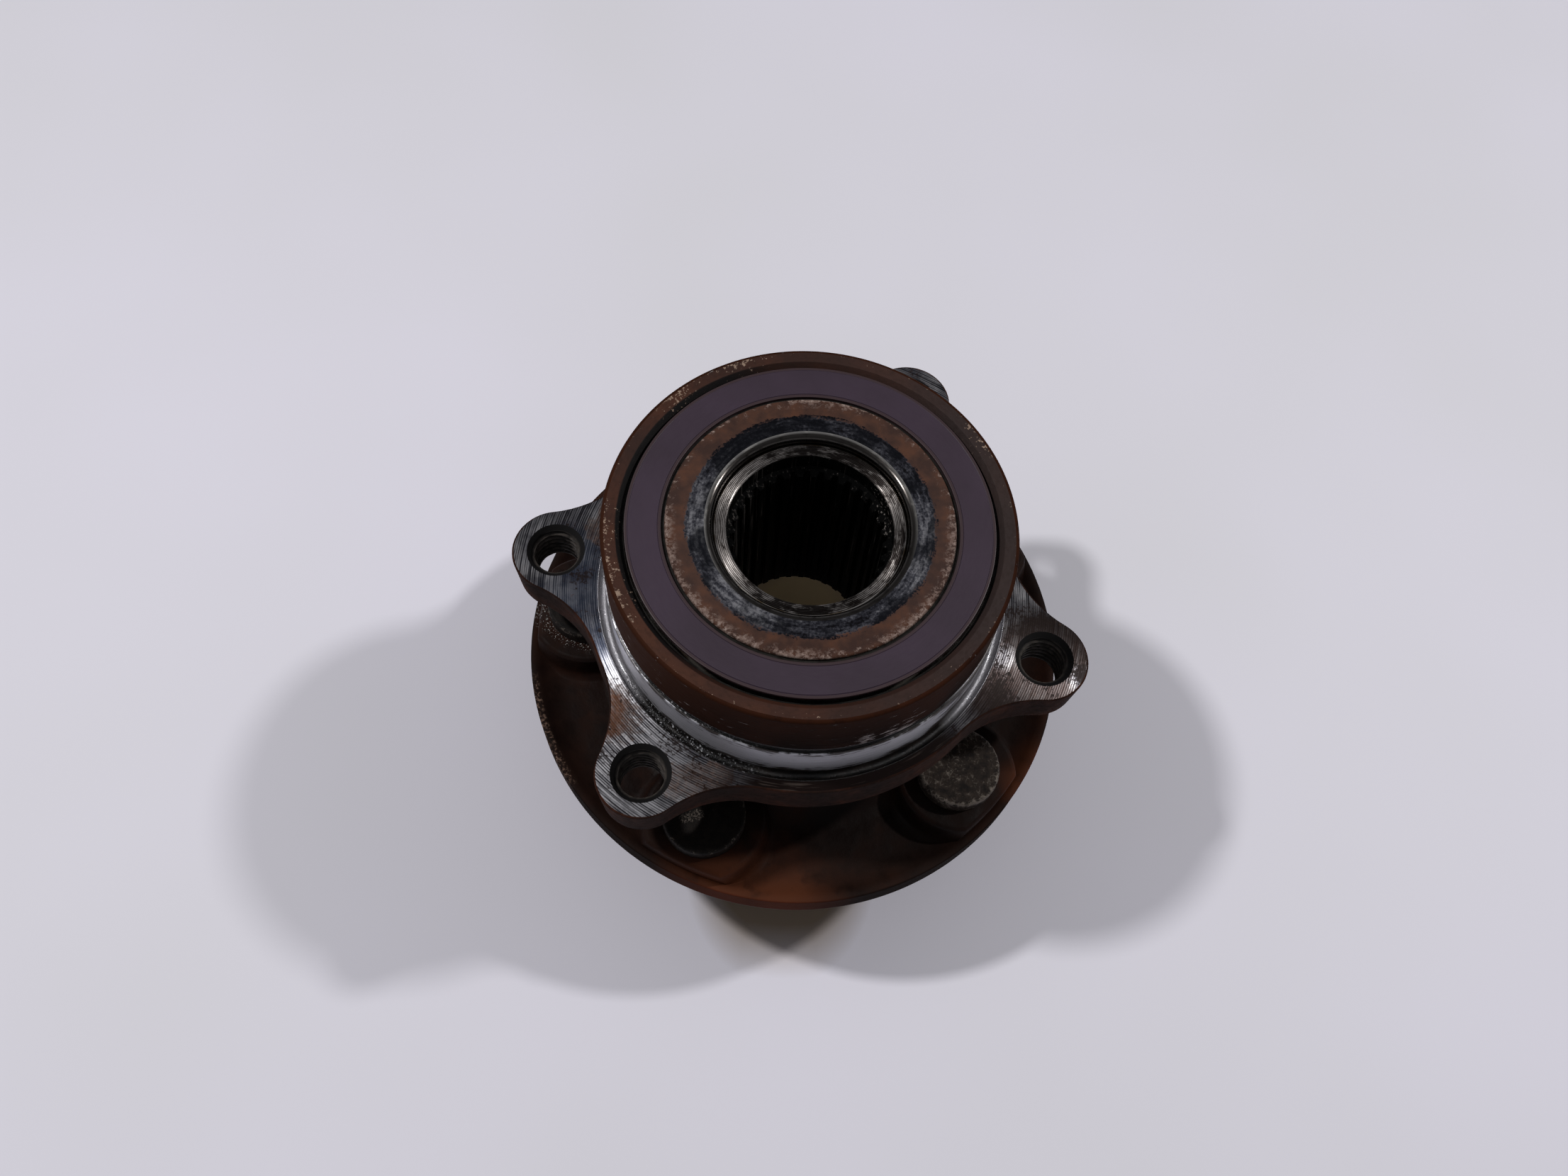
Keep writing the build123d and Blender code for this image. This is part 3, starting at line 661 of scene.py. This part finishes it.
dry = scale.add("Math", dry, streak, operation="MAXIMUM")
redder = scale.shows(rim, 0.0, 1.0, scale.shows(dry, 0.0, 1.0, 0.8))
greasy = scale.shows([coarse, (rim, -0.2), (dry, -0.1)], 0.3, 0.54, 0.7)
# Painted shade: the flange is darkened at the front right.
painted_shade_front = [(57.0, 318), (60.0, 305), (60.0, 292), (50.0, 290), (56.0, 345)]
painted_shade_front = scale.near(painted_shade_front, 14.0, 6.0, 0.7)
outside = scale.shows(scale.radius, flange_r - 0.5, flange_r - 0.1, 0.95)
# Pale specks on the rim's inner edge at the left: worn metal, and painted glints.
worn_specks_and_glints = scale.shows(scale.add("TexNoise", scale.place, 1 / 0.714, 6.0, 0.7), 0.5, 0.62, 0.6)
worn_specks_and_glints = scale.shows(scale.radius, 64.6, 65.2, worn_specks_and_glints)
worn_specks_and_glints = scale.near([(65.6, 202), (65.3, 210), (65.3, 218)], 7.0, 3.0, worn_specks_and_glints)
wet = [(64.4, 181), (62.5, 184), (60.5, 186.5), (58.0, 188), (55.8, 189.5), (53.0, 190.5), (50.8, 191.3)]
wet = scale.near(wet, 3.6, 2.0)
drops = scale.shows(scale.add("TexNoise", scale.place, 1 / 0.625, 3.0, 0.6), 0.52, 0.66, wet)
# Pale specks among the beads: grit, and painted glints.
grit_and_glints = scale.shows(scale.add("TexNoise", scale.place, 1 / 0.385, 3.0, 0.6), 0.6, 0.64, wet)
dulled = scale.add("MapRange", greasy, 0.0, 0.7, 0.66, 0.42)
flange_skin = scale.give(
    Base_Color=scale.coated(
        coat,
        (redder, "#4c2817"),
        (greasy, "#0f0908"),
        (painted_shade_front, "#0f0907"),
        (outside, scale.coated("#130a07", (dry, "#4a2416"))),
        (grit_and_glints, "#a3a19e"),
        (worn_specks_and_glints, "#8a6f60"),
    ),
    Roughness=scale.add("Math", dulled, outside, operation="MAXIMUM"),
    Coat_Weight=drops,
    Normal=scale.add("Bump", Height=scale.total(coarse, (pores, 0.12), drops), Distance=0.25 * mm),
)

# End face of the spindle: fine-turned, dull between the tool's marks, and smeared with grease.
steel = Finish("fine_turned_spindle_end", Metallic=1.0, Anisotropic=0.9)
marks = steel.ripple(steel.out_and_up, 0.36)
fine = steel.drawn_out(7.5, 0.1667, 5.0, 0.7)
lines = steel.total(fine, (marks, 0.16))
metal = steel.add("ValToRGB", lines, stops=((0.36, "#332e2c"), (0.52, "#706a67"), (0.7, "#b4aeaa")))
smeared = [(19.5, bearing) for bearing in (105, 78, 52, 350, 258, 278, 298)]
smeared = steel.near(smeared, 11.0, 2.0, 0.2)
smears = steel.shows([steel.drawn_out(7.5, 1.25, 6.0, 0.65), smeared], 0.56, 0.7, 0.92)
spindle_end = steel.give(
    Base_Color=steel.coated(metal, (smears, "#15100e")),
    Roughness=steel.add("MapRange", steel.total(fine, smears), 0.3, 1.3, 0.3, 0.5),
    Normal=steel.add("Bump", Height=steel.total(fine, (marks, 0.5)), Distance=0.012 * mm),
    Tangent=steel.lathe_tangent(),
)

# Splined bore: teeth black with old grease, streaked clean by the shaft, the streaks painted
# paler on the side where the light falls. It flakes at the mouth, and the pale flakes there also
# stand as painted glints.
bore = Finish("greased_spline_bore", Metallic=0.3, Specular_IOR_Level=0.05)
along_teeth = bore.add("VectorMath", bore.place, (1 / 0.667, 1 / 0.667, 1 / 20.0), operation="MULTIPLY")
streaks = bore.add("TexNoise", along_teeth, 1.0, 5.0, 0.7)
# Painted light: the streaks are made paler on the side of the bore that the light falls on.
painted_light_side = bore.shows(bore.facing(155), 0.8, 0.98, 0.07)
streaks = bore.shows([streaks, painted_light_side], 0.6, 0.74, 0.6)
mouth = bore.shows(bore.height, 62.4, 63.8)
# Pale flakes at the mouth, more of them at the right, also stand as painted glints.
flakes_and_glints = bore.add("TexNoise", bore.place, 1 / 0.769, 5.0)
glint_side = bore.shows(bore.facing(30), 0.9, 0.98, 0.1)
flakes_and_glints = bore.shows([flakes_and_glints, glint_side], 0.69, 0.73, mouth)
pale = bore.add("Math", streaks, flakes_and_glints, operation="MAXIMUM")
splined_bore = bore.give(
    Base_Color=bore.coated("#030303", (pale, "#69635f")),
    Roughness=bore.add("MapRange", streaks, 0.0, 0.45, 0.6, 0.4),
)

# Wheel face, pilot and nut recess: turned, and browned by road water.
steel = Finish("weathered_turned_steel", Anisotropic=0.4)
marks = steel.ripple(steel.out_and_up, 0.62)
streaks = steel.drawn_out(3.0, 0.909, 6.0, 0.65)
metal = steel.add("ValToRGB", streaks, stops=((0.35, "#7a7470"), (0.65, "#4d423c")))
cloud = steel.add("TexNoise", steel.place, 1 / 9.09, 4.0)
oxide = steel.shows([cloud, (streaks, 0.5)], 0.66, 0.84)
weathered_turning = steel.give(
    Base_Color=steel.coated(metal, (oxide, "#4b2a1b")),
    Metallic=steel.add("MapRange", oxide, 0.0, 1.0, 0.9, 0.05),
    Roughness=steel.add("MapRange", oxide, 0.0, 1.0, 0.36, 0.72),
    Normal=steel.add("Bump", Height=steel.total(streaks, (marks, 0.4)), Distance=0.03 * mm),
    Tangent=steel.lathe_tangent(),
)


def spaced_round_tree():
    """Nodes that set copies of a piece evenly on a circle about Z."""
    tree = bpy.data.node_groups.new("spaced_round", "GeometryNodeTree")
    sizes = {"Count": "Int", "Circle radius": "Float", "First angle": "Float"}
    for name, kind in {"Piece": "Geometry", **sizes, "Finish": "Material"}.items():
        tree.interface.new_socket(name, in_out="INPUT", socket_type="NodeSocket" + kind)
    tree.interface.new_socket("Result", in_out="OUTPUT", socket_type="NodeSocketGeometry")
    given = add_node(tree, "NodeGroupInput").outputs
    circle = add_node(tree, "GeometryNodeMeshCircle", Vertices=given["Count"], Radius=given["Circle radius"])
    swing = add_node(tree, "ShaderNodeCombineXYZ", Z=given["First angle"])
    places = add_node(tree, "GeometryNodeTransform", Geometry=circle, Rotation=swing)
    copies = add_node(tree, "GeometryNodeInstanceOnPoints", Points=places, Instance=given["Piece"])
    solid = add_node(tree, "GeometryNodeRealizeInstances", Geometry=copies)
    dressed = add_node(tree, "GeometryNodeSetMaterial", Geometry=solid, Material=given["Finish"])
    add_node(tree, "NodeGroupOutput", dressed)
    return tree


def grown(piece, tree, values):
    """Runs a node tree on a piece with the named inputs, and keeps the result as its mesh."""
    step = piece.modifiers.new(tree.name, "NODES")
    step.node_group = tree
    for item in tree.interface.items_tree:
        if item.in_out == "INPUT" and item.name in values:
            step[item.identifier] = values[item.name]
    return keep_mesh(piece)


# Columns of the spindle's mesh, in degrees from the middle of each tooth space: the space's root,
# its flank and the tooth's land.
tooth = 360 / spline_count
flank = [spline_space_root, 2.03, 2.65, spline_space_mouth]
land = [4.0, 4.7]
space_offsets = np.array([-tooth / 2, *[-x for x in land[::-1] + flank[::-1]], -0.7, 0, 0.7, *flank, *land])
spindle_bearings = (np.arange(spline_count)[:, None] * tooth + space_offsets).ravel()
flank_ends = [spline_space_root, spline_space_mouth]
spline_r = np.interp(np.abs(space_offsets), flank_ends, [spline_root_r, spline_minor_r])
spline_r = np.tile(spline_r, spline_count)
cone = (lead_in_r - spline_minor_r) / (cone_top_z - cone_low_z)
SKIN, END, RACE, BORE, WHEEL = range(5)
lead_in = []
for rise in (0, 0.4, 0.89):
    lead_in.append((np.maximum(spline_r, spline_minor_r + cone * rise), cone_low_z + rise, 0, BORE))
hub_spindle = turned(
    "hub_spindle_body",
    spindle_bearings,
    [
        (lead_in_r, spindle_z, 0.4, END),
        (seat_r, spindle_z, 0.5, RACE),
        (seat_r, shoulder_z, 0, RACE),
        (low_side_r, shoulder_z, 0.4, RACE),
        *arc(pitch_r, outboard_row_z, race_r, 157.6, 235.9, 7, RACE),
        (neck_r, collar_z, neck_fillet, RACE),
        (collar_r, collar_z, 0.9, SKIN),
        (collar_r, web_z, web_curve, SKIN),
        *arc(scoop_start_r, web_z + scoop_radius, scoop_radius, -90, -58.1, 6, SKIN),
        (flange_r - 0.7, rim_z, 0, SKIN),
        (flange_r, rim_z, 0.4, SKIN),
        (flange_r, 0, 0.5, WHEEL),
        (wheel_pilot_r, 0, 0.4, WHEEL),
        (wheel_pilot_r, wheel_pilot_z, 1.0, WHEEL),
        (nut_mouth_r, wheel_pilot_z, 0.3, WHEEL),
        (nut_recess_r, nut_flare_z, 0, WHEEL),
        (nut_recess_r, nut_seat_z, 0.4, WHEEL),
        (spline_exit_r, nut_seat_z, 0.3, BORE),
        (spline_exit_r, spline_exit_z, 0, BORE),
        (spline_r, spline_exit_z + 0.01, 0, BORE),
        *lead_in,
        (lead_in_r, cone_top_z, 0, BORE),
    ],
    [flange_skin, spindle_end, greased_race, splined_bore, weathered_turning],
)


def turned_solid(name, bearings, corners):
    """A turned solid from its end on the axis to its other end, each corner (r, z, round)."""
    return turned(name, bearings, [(*corner, 0) for corner in corners], [], closed=False)


def cylinder(name, bearings, radius, top_z, low_z, top_round=0):
    """A solid cylinder about Z, for a cut or a crop."""
    corners = [(0, top_z, 0), (radius, top_z, top_round), (radius, low_z, 0), (0, low_z, 0)]
    return turned_solid(name, bearings, corners)


# The bosses round the studs are forged with the flange, and turned off with its rim.
round_column = np.arange(0, 360, 5.0)
root_z = web_z / 2
bosses = turned_solid(
    "stud_bosses",
    round_column,
    [
        (0, boss_z, 0),
        (boss_r, boss_z, 1.2),
        (boss_foot_r, web_z, 2.6),
        (boss_root_r, web_z - 0.12, 0),
        (boss_root_r, root_z, 0),
        (0, root_z, 0),
    ],
)
spaced_round = spaced_round_tree()
on_stud_circle = {"Count": stud_count, "Circle radius": stud_circle_r * mm, "First angle": first_stud}
grown(bosses, spaced_round, on_stud_circle)
rim_turning = cylinder("rim_turning", np.arange(0, 360, 1.0), boss_clip_r, boss_z + 0.002, 1.0, 1.2)
combine(bosses, rim_turning, "INTERSECT")
combine(hub_spindle, bosses, "UNION")
stud_holes = cylinder("stud_holes", round_column, stud_hole_r, boss_z + 1.5, -1.0)
combine(hub_spindle, grown(stud_holes, spaced_round, on_stud_circle), "DIFFERENCE")
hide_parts("hub_spindle")
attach(hub_spindle, "hub")


# Wheel studs: five cold-headed screws pressed in from the inboard side, held by the knurl under
# the head, and threaded from the wheel face to a pointed end.
stud_head_r = 9.85
stud_head_z = 17.4
stud_crown_r = 5.2
stud_knurl_r = 6.58
stud_shank_r = 5.98
stud_thread_pitch = 1.5
stud_thread_depth = 0.9
stud_thread_top_z = -2.0
stud_tip_z = -39.4
stud_tip_r = 4.6
stud_cone_length = 2.4

# Phosphated stud steel: near black, cracked off in a pale web, with the wire's rings at the
# middle and a rim paler from rubbing and from a painted highlight on its rounding. The two heads
# under the ears are painted near black as shade.
stud = Finish("phosphated_stud_steel", Specular_IOR_Level=0.1)
blotch = stud.add("TexNoise", stud.place, 1 / 2.0, 7.0, 0.68)
grains = stud.add("TexNoise", stud.place, 1 / 0.526, 6.0, 0.72)
from_axis = stud.add("Attribute", attribute_name="from_stud_axis").outputs["Fac"]
rings = stud.ripple(stud.total(from_axis, (blotch, 3.0)), 1.25)
centre = stud.shows(from_axis, 4.6, 2.6, 0.09)
centre = stud.shows(rings, 0.3, 1.0, centre)
# The head's rim is paler: rubbed, and with a painted highlight on its rounding.
edge = stud.shows(from_axis, 8.7, 9.5, 0.16)
edge = stud.shows(stud.height, 15.4, 16.8, edge)
cracks = stud.add("TexVoronoi", stud.place, Scale=1 / 1.333, feature="DISTANCE_TO_EDGE")
cracks = stud.add("MapRange", cracks, 0.02, 0.14, 0.12, 0.0)
# Painted shade: the two heads under the ears are made near black, with little of the pale web.
painted_shade_heads = stud.near([(53.5, 253), (52.5, 181)], 14.0, 9.0, 0.16)
pale = stud.shows([blotch, (grains, 0.5), cracks, centre, edge, (painted_shade_heads, -1.0)], 0.86, 1.0)
# Pale grit and a painted highlight on the strip of one head that the lamp reaches below its ear.
grit_and_glint_sliver = stud.near([(54.5, 250.8), (55.5, 249.5), (53.5, 252)], 2.2, 1.2, 0.35)
grit_and_glint_sliver = stud.shows([grains, grit_and_glint_sliver], 0.82, 0.9)
pale = stud.add("Math", pale, grit_and_glint_sliver, operation="MAXIMUM")
dark = stud.add("ValToRGB", blotch, stops=((0.36, "#16110f"), (0.6, "#332a24")))
painted_shade_cover = stud.shows(painted_shade_heads, 0.0, 0.16, 0.75)
stud_steel = stud.give(
    Base_Color=stud.coated(dark, (painted_shade_cover, "#040303"), (pale, "#625a53")),
    Metallic=stud.add("MapRange", pale, 0.0, 1.0, 0.1, 0.6),
    Roughness=stud.add("MapRange", grains, 0.3, 0.7, 0.44, 0.66),
    Normal=stud.add("Bump", Height=stud.total(grains, pale), Distance=0.08 * mm),
)

stud_bearings = np.arange(0, 360, 12.0)
stud_reach = (stud_tip_z + 0.15, stud_thread_top_z)
stud_thread = (stud_thread_pitch, stud_shank_r, stud_thread_depth)
cone = (stud_shank_r - stud_tip_r) / stud_cone_length
thread = []
for z, radii in threaded(*stud_reach, *stud_thread, stud_bearings, 8, (0.01, 1.0)):
    thread.append((np.minimum(radii, stud_tip_r + cone * (z - stud_tip_z)), z, 0))
wheel_studs = turned_solid(
    "wheel_stud_set",
    stud_bearings,
    [
        (0, stud_tip_z, 0),
        (stud_tip_r - 0.25, stud_tip_z, 0),
        *thread,
        (stud_shank_r, -0.05, 0),
        (stud_knurl_r, 0.0, 0),
        (stud_knurl_r, boss_z, 0),
        (stud_head_r, boss_z, 0.15),
        (stud_head_r, stud_head_z - 0.05, 0.7),
        (stud_crown_r, stud_head_z, 0),
        (0, stud_head_z, 0),
    ],
)
from_axis = wheel_studs.data.attributes.new("from_stud_axis", "FLOAT", "POINT")
from_axis.data.foreach_set("value", [v.co.xy.length / mm for v in wheel_studs.data.vertices])
grown(wheel_studs, spaced_round, {**on_stud_circle, "Finish": stud_steel})
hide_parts("wheel_studs")
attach(wheel_studs, "hub")


# Ball rows: through-hardened bearing steel balls in crown cages moulded in glass-filled nylon,
# which snap over the balls from the middle of the bearing and carry them round.
balls = Finish("lapped_ball_steel", Metallic=1.0)
film = balls.add("TexNoise", balls.place, 1 / 2.5, 3.0)
ball_steel = balls.give(
    Base_Color=balls.add("ValToRGB", film, stops=((0.4, "#b8b6b4"), (0.6, "#8d857a"))),
    Roughness=balls.add("MapRange", film, 0.4, 0.7, 0.08, 0.22),
)
nylon = Finish("moulded_cage_nylon", Specular_IOR_Level=0.45)
glass = nylon.add("TexNoise", nylon.place, 1 / 0.625, 4.0)
cage_nylon = nylon.give(
    Base_Color=nylon.add("ValToRGB", glass, stops=((0.3, "#5c4a34"), (0.7, "#7d6848"))),
    Roughness=nylon.add("MapRange", glass, 0.3, 0.7, 0.38, 0.55),
    Normal=nylon.add("Bump", Height=glass, Distance=0.02 * mm),
)
for name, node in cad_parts.items():
    if "_ball_" in name:
        node.material_slots[0].material = ball_steel
    elif name.endswith("_cage"):
        node.material_slots[0].material = cage_nylon


# Inner ring: hardened steel, pressed on the spindle against its shoulder. The drive shaft's face
# bore on it and left a band of blue-grey steel; outside the band it rusted, up to a chipped rim.
inner_ring_z = 71.9
shoulder_r = 31.087
contact_r = 26.6
bore_corner_width = 1.75

# Face of the inner ring: a ragged band of fretted blue-grey steel, lighter in spots as painted
# highlights, then rust up to a cream rim.
face = Finish("inner_ring_face", Anisotropic=0.3, Specular_IOR_Level=0.2)
smears = face.drawn_out(9.0, 0.909, 5.0, 0.6)
speckle = face.add("TexNoise", face.place, 1 / 0.667, 6.0, 0.74)
mottled = face.total(speckle, smears)
contact = face.shows([face.radius, (mottled, 3.5)], contact_r + 3.75, contact_r + 3.35)
# Painted highlights: spots round the bore where the band is made lighter, as the lamps' glints.
painted_highlight_spots = face.near([(25, 5), (25, 342), (23, 232), (23, 250), (25, 173), (25, 190)], 10.0, 2.0, 0.09)
paleness = face.total(painted_highlight_spots, (mottled, 0.5))
blues = ((0.42, "#0e0d10"), (0.49, "#25252b"), (0.56, "#434349"), (0.67, "#7c7b7f"))
bruised = face.add("ValToRGB", paleness, stops=blues)
dark = face.shows(face.facing(118), 0.75, 0.95, 0.14)
dark = face.shows([face.add("TexNoise", face.place, 1 / 5.88, 4.0), dark], 0.48, 0.6, 0.8)
rust = face.add("TexNoise", face.place, 1 / 3.33, 6.0)
rust = face.add("ValToRGB", rust, stops=((0.36, "#2d1a13"), (0.52, "#3a2319"), (0.66, "#45291b")))
rim = face.shows(face.radius, 28.4, 30.6)
strong = [(30.5, 0), (30.5, 234), (30.6, 246), (30.6, 273), (29, 196), (30.6, 94), (30.6, 318)]
strong = face.near(strong, 13.0, 2.0, 0.13)
chips = face.add("TexNoise", face.place, 1 / 1.25, 7.0, 0.7)
pale = face.shows([chips, strong, (rim, 0.1)], 0.64, 0.7, rim)
cream = face.add("ValToRGB", speckle, stops=((0.36, "#4c3a33"), (0.52, "#6b5850"), (0.66, "#8c7c74")))
ring_face = face.give(
    Base_Color=face.coated(rust, (pale, cream), (contact, face.coated(bruised, (dark, "#0d0e13")))),
    Metallic=face.shows(contact, 0.0, 1.0, 0.75),
    Roughness=face.add("MapRange", face.total(paleness, contact), 0.4, 1.5, 0.7, 0.36),
    Normal=face.add("Bump", Height=face.total(paleness, (pale, 0.6)), Distance=0.05 * mm),
    Tangent=face.lathe_tangent(),
)

# Polished corner at the bore: stained dark, with a painted highlight along its outer edge
# but in front.
corner = Finish("polished_bore_corner", Metallic=1.0, Anisotropic=0.4)
stained = corner.shows(corner.drawn_out(5.0, 1.25, 5.0), 0.5, 0.72)
# Painted highlight: a pale line round the corner's outer edge, fading out in front.
brightened = corner.shows(corner.radius, seat_r + 1.1, seat_r + 1.6)
brightened = corner.shows(corner.facing(110), -0.6, 0.2, brightened)
bore_corner = corner.give(
    Base_Color=corner.coated("#3b3836", (stained, "#161312"), (brightened, "#a3a09c")),
    Roughness=corner.add("MapRange", stained, 0.0, 1.0, 0.18, 0.4),
    Tangent=corner.lathe_tangent(),
)

FACE, CORNER, RACE = range(3)
inner_ring = turned(
    "inner_ring_body",
    np.arange(0, 360, 1.0),
    [
        (seat_r, shoulder_z, 0.5, RACE),
        (low_side_r, shoulder_z, 0.4, RACE),
        *arc(pitch_r, inboard_row_z, race_r, 202.4, 129.0, 9, RACE),
        (shoulder_r, inner_ring_z, 0.5, FACE),
        (seat_r + bore_corner_width, inner_ring_z, 0, CORNER),
        (seat_r, inner_ring_z, 1.5, CORNER),
        (seat_r, 66.0, 0, RACE),
    ],
    [ring_face, bore_corner, greased_race],
)
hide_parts("inner_ring")
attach(inner_ring, "hub")


# Slinger and encoder ring: a sheet steel collar pressed on the inner ring, and ferrite-filled
# rubber bonded on it, magnetised in poles that the wheel-speed sensor reads. The rubber is
# smooth, with a fine moulding line inside each edge.
encoder_low_z = 70.9
encoder_top_z = 71.7
encoder_inner_r = 31.787
encoder_outer_r = 39.597
moulding_line = 0.75
line_half = 0.1
line_z = encoder_top_z - 0.15
outer_lip_z = encoder_top_z - 0.08
inner_lip_z = encoder_top_z - 0.05

rubber = Finish("ferrite_filled_encoder_rubber", Specular_IOR_Level=0.26)
haze = rubber.add("TexNoise", rubber.place, 1 / 20.0, 3.0)
tone = rubber.add("ValToRGB", haze, stops=((0.35, "#2d222c"), (0.65, "#332733")))
fine = rubber.drawn_out(2.8125, 0.333, 5.0)
inner_lip = rubber.shows(rubber.radius, 32.6, 32.3)
outer_lip = rubber.shows(rubber.radius, 38.85, 39.1)
lips = rubber.add("Math", inner_lip, outer_lip, operation="MAXIMUM")
dust = rubber.shows(rubber.add("TexNoise", rubber.place, 1 / 0.588, 3.0), 0.74, 0.77, 0.5)
relief = rubber.total(rubber.add("TexNoise", rubber.place, 1 / 0.2, 3.0), fine)
encoder_rubber = rubber.give(
    Base_Color=rubber.coated(tone, (lips, "#2f2124"), (dust, "#161015")),
    Roughness=rubber.add("MapRange", fine, 0.3, 0.7, 0.42, 0.5),
    Normal=rubber.add("Bump", Height=relief, Distance=0.006 * mm),
)
outer_line_r = encoder_outer_r - moulding_line
inner_line_r = encoder_inner_r + moulding_line
encoder = turned(
    "encoder_ring_body",
    np.arange(0, 360, 1.0),
    [
        (encoder_inner_r, encoder_low_z, 0.08, 0),
        (encoder_outer_r, encoder_low_z, 0.08, 0),
        (encoder_outer_r, outer_lip_z, 0.2, 0),
        (outer_line_r + line_half, outer_lip_z, 0.03, 0),
        (outer_line_r, line_z, 0, 0),
        (outer_line_r - line_half, encoder_top_z, 0.05, 0),
        (inner_line_r + line_half, encoder_top_z, 0.05, 0),
        (inner_line_r, line_z, 0, 0),
        (inner_line_r - line_half, inner_lip_z, 0.03, 0),
        (encoder_inner_r, inner_lip_z, 0.2, 0),
    ],
    [encoder_rubber],
)
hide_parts("encoder_ring")
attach(encoder, "hub")
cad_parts["slinger"].material_slots[0].material = seal_sheet


# Floor, lamps and camera: a pale table top with painted shade and light under the hub, two soft
# lamps above the bearing at its left and right, and a pale room. The camera looks down at the
# inboard end.
floor_z = -39.4
floor_half = 2000
lamp_distance = 1200
lamp_size = 80
camera_place = (0.0, -135.653, 323.362)
camera_pitch = 1.12654546
camera_yaw = -0.0308917137
camera_roll = 0.111993931
sensor_width = 36
focal_pixels = 1900
frame_pixels = 2212

paint = Finish("painted_table_top", Roughness=0.6, Specular_IOR_Level=0.2)
grey = paint.add("TexNoise", paint.place, 1 / 167, 2.0)
grey = paint.add("ValToRGB", grey, stops=((0.3, "#cfcdd3"), (0.7, "#d4d1db")))
# Painted shade: a brown tint under the hub, reaching further out in front, stands for its shadow and the
# light that the rust throws back.
shade_reach_front = paint.shows(paint.facing(276), 0.9, 0.99, 18.0)
painted_brown_shade = paint.shows([paint.radius, (shade_reach_front, -1.0)], 58.0, 44.0, 0.85)
# Painted light: a paler warm patch on the table seen through the bore.
painted_light_under_bore = paint.near([(28.0, 90)], 20.0, 12.0, 0.9)
table_top = paint.give(Base_Color=paint.coated(grey, (painted_brown_shade, "#7a6544"), (painted_light_under_bore, "#a6946e")))
corners = [(x * floor_half * mm, y * floor_half * mm) for x, y in ((-1, -1), (1, -1), (1, 1), (-1, 1))]
floor_mesh = bpy.data.meshes.new("table")
floor_mesh.from_pydata([(x, y, floor_z * mm) for x, y in corners], [], [(0, 1, 2, 3)])
floor_mesh.materials.append(table_top)
table = in_scene("table", floor_mesh)

lamps = {"lamp_right": (6.25, (0.81, 0.335, 1.0)), "lamp_left": (7.7, (-0.66, 0.055, 1.0))}
for name, (power, toward) in lamps.items():
    lamp = bpy.data.lights.new(name, "AREA")
    lamp.shape = "DISK"
    lamp.size = lamp_size * mm
    lamp.energy = power
    holder = in_scene(name, lamp)
    holder.location = Vector(toward).normalized() * lamp_distance * mm
    holder.rotation_euler = Vector(toward).to_track_quat("Z", "Y").to_euler()

# The room lights the object from its ceiling down; the camera and metal see pale walls as well.
room = bpy.data.worlds.new("room")
room.use_nodes = True
air = room.node_tree
air.nodes.clear()
rise = add_node(air, "ShaderNodeTexCoord").outputs["Generated"]
rise = add_node(air, "ShaderNodeSeparateXYZ", rise).outputs["Z"]
ceiling = add_node(air, "ShaderNodeMapRange", rise, 0.0, 1.0, 0.02, 0.35)
walls = add_node(air, "ShaderNodeMapRange", rise, 0.3, 0.6, 0.62, 0.0)
walls = add_node(air, "ShaderNodeMath", ceiling, walls, operation="MAXIMUM")
ray = add_node(air, "ShaderNodeLightPath").outputs
seen = add_node(air, "ShaderNodeMath", ray["Is Camera Ray"], ray["Is Glossy Ray"], operation="MAXIMUM")
seen = add_node(air, "ShaderNodeMath", seen, ray["Is Transmission Ray"], operation="MAXIMUM")
strength = add_node(air, "ShaderNodeMix", seen, ceiling, walls)
light = add_node(air, "ShaderNodeBackground", Color="#f9faff", Strength=strength)
add_node(air, "ShaderNodeOutputWorld", light)
bpy.context.scene.world = room

level = Vector((cos(camera_yaw), -sin(camera_yaw), 0))
ahead = Vector((sin(camera_yaw), cos(camera_yaw), 0))
forward = ahead * cos(camera_pitch) - Vector((0, 0, sin(camera_pitch)))
upward = level.cross(forward)
right = level * cos(camera_roll) + upward * sin(camera_roll)
up = upward * cos(camera_roll) - level * sin(camera_roll)
lens = bpy.data.cameras.new("camera")
lens.sensor_width = sensor_width
lens.lens = focal_pixels / frame_pixels * sensor_width
lens.clip_start = 0.01
camera = in_scene("camera", lens)
camera.matrix_world = Matrix((right, up, -forward)).transposed().to_4x4()
camera.location = Vector(camera_place) * mm
bpy.context.scene.camera = camera
bpy.context.scene.view_settings.view_transform = "Standard"
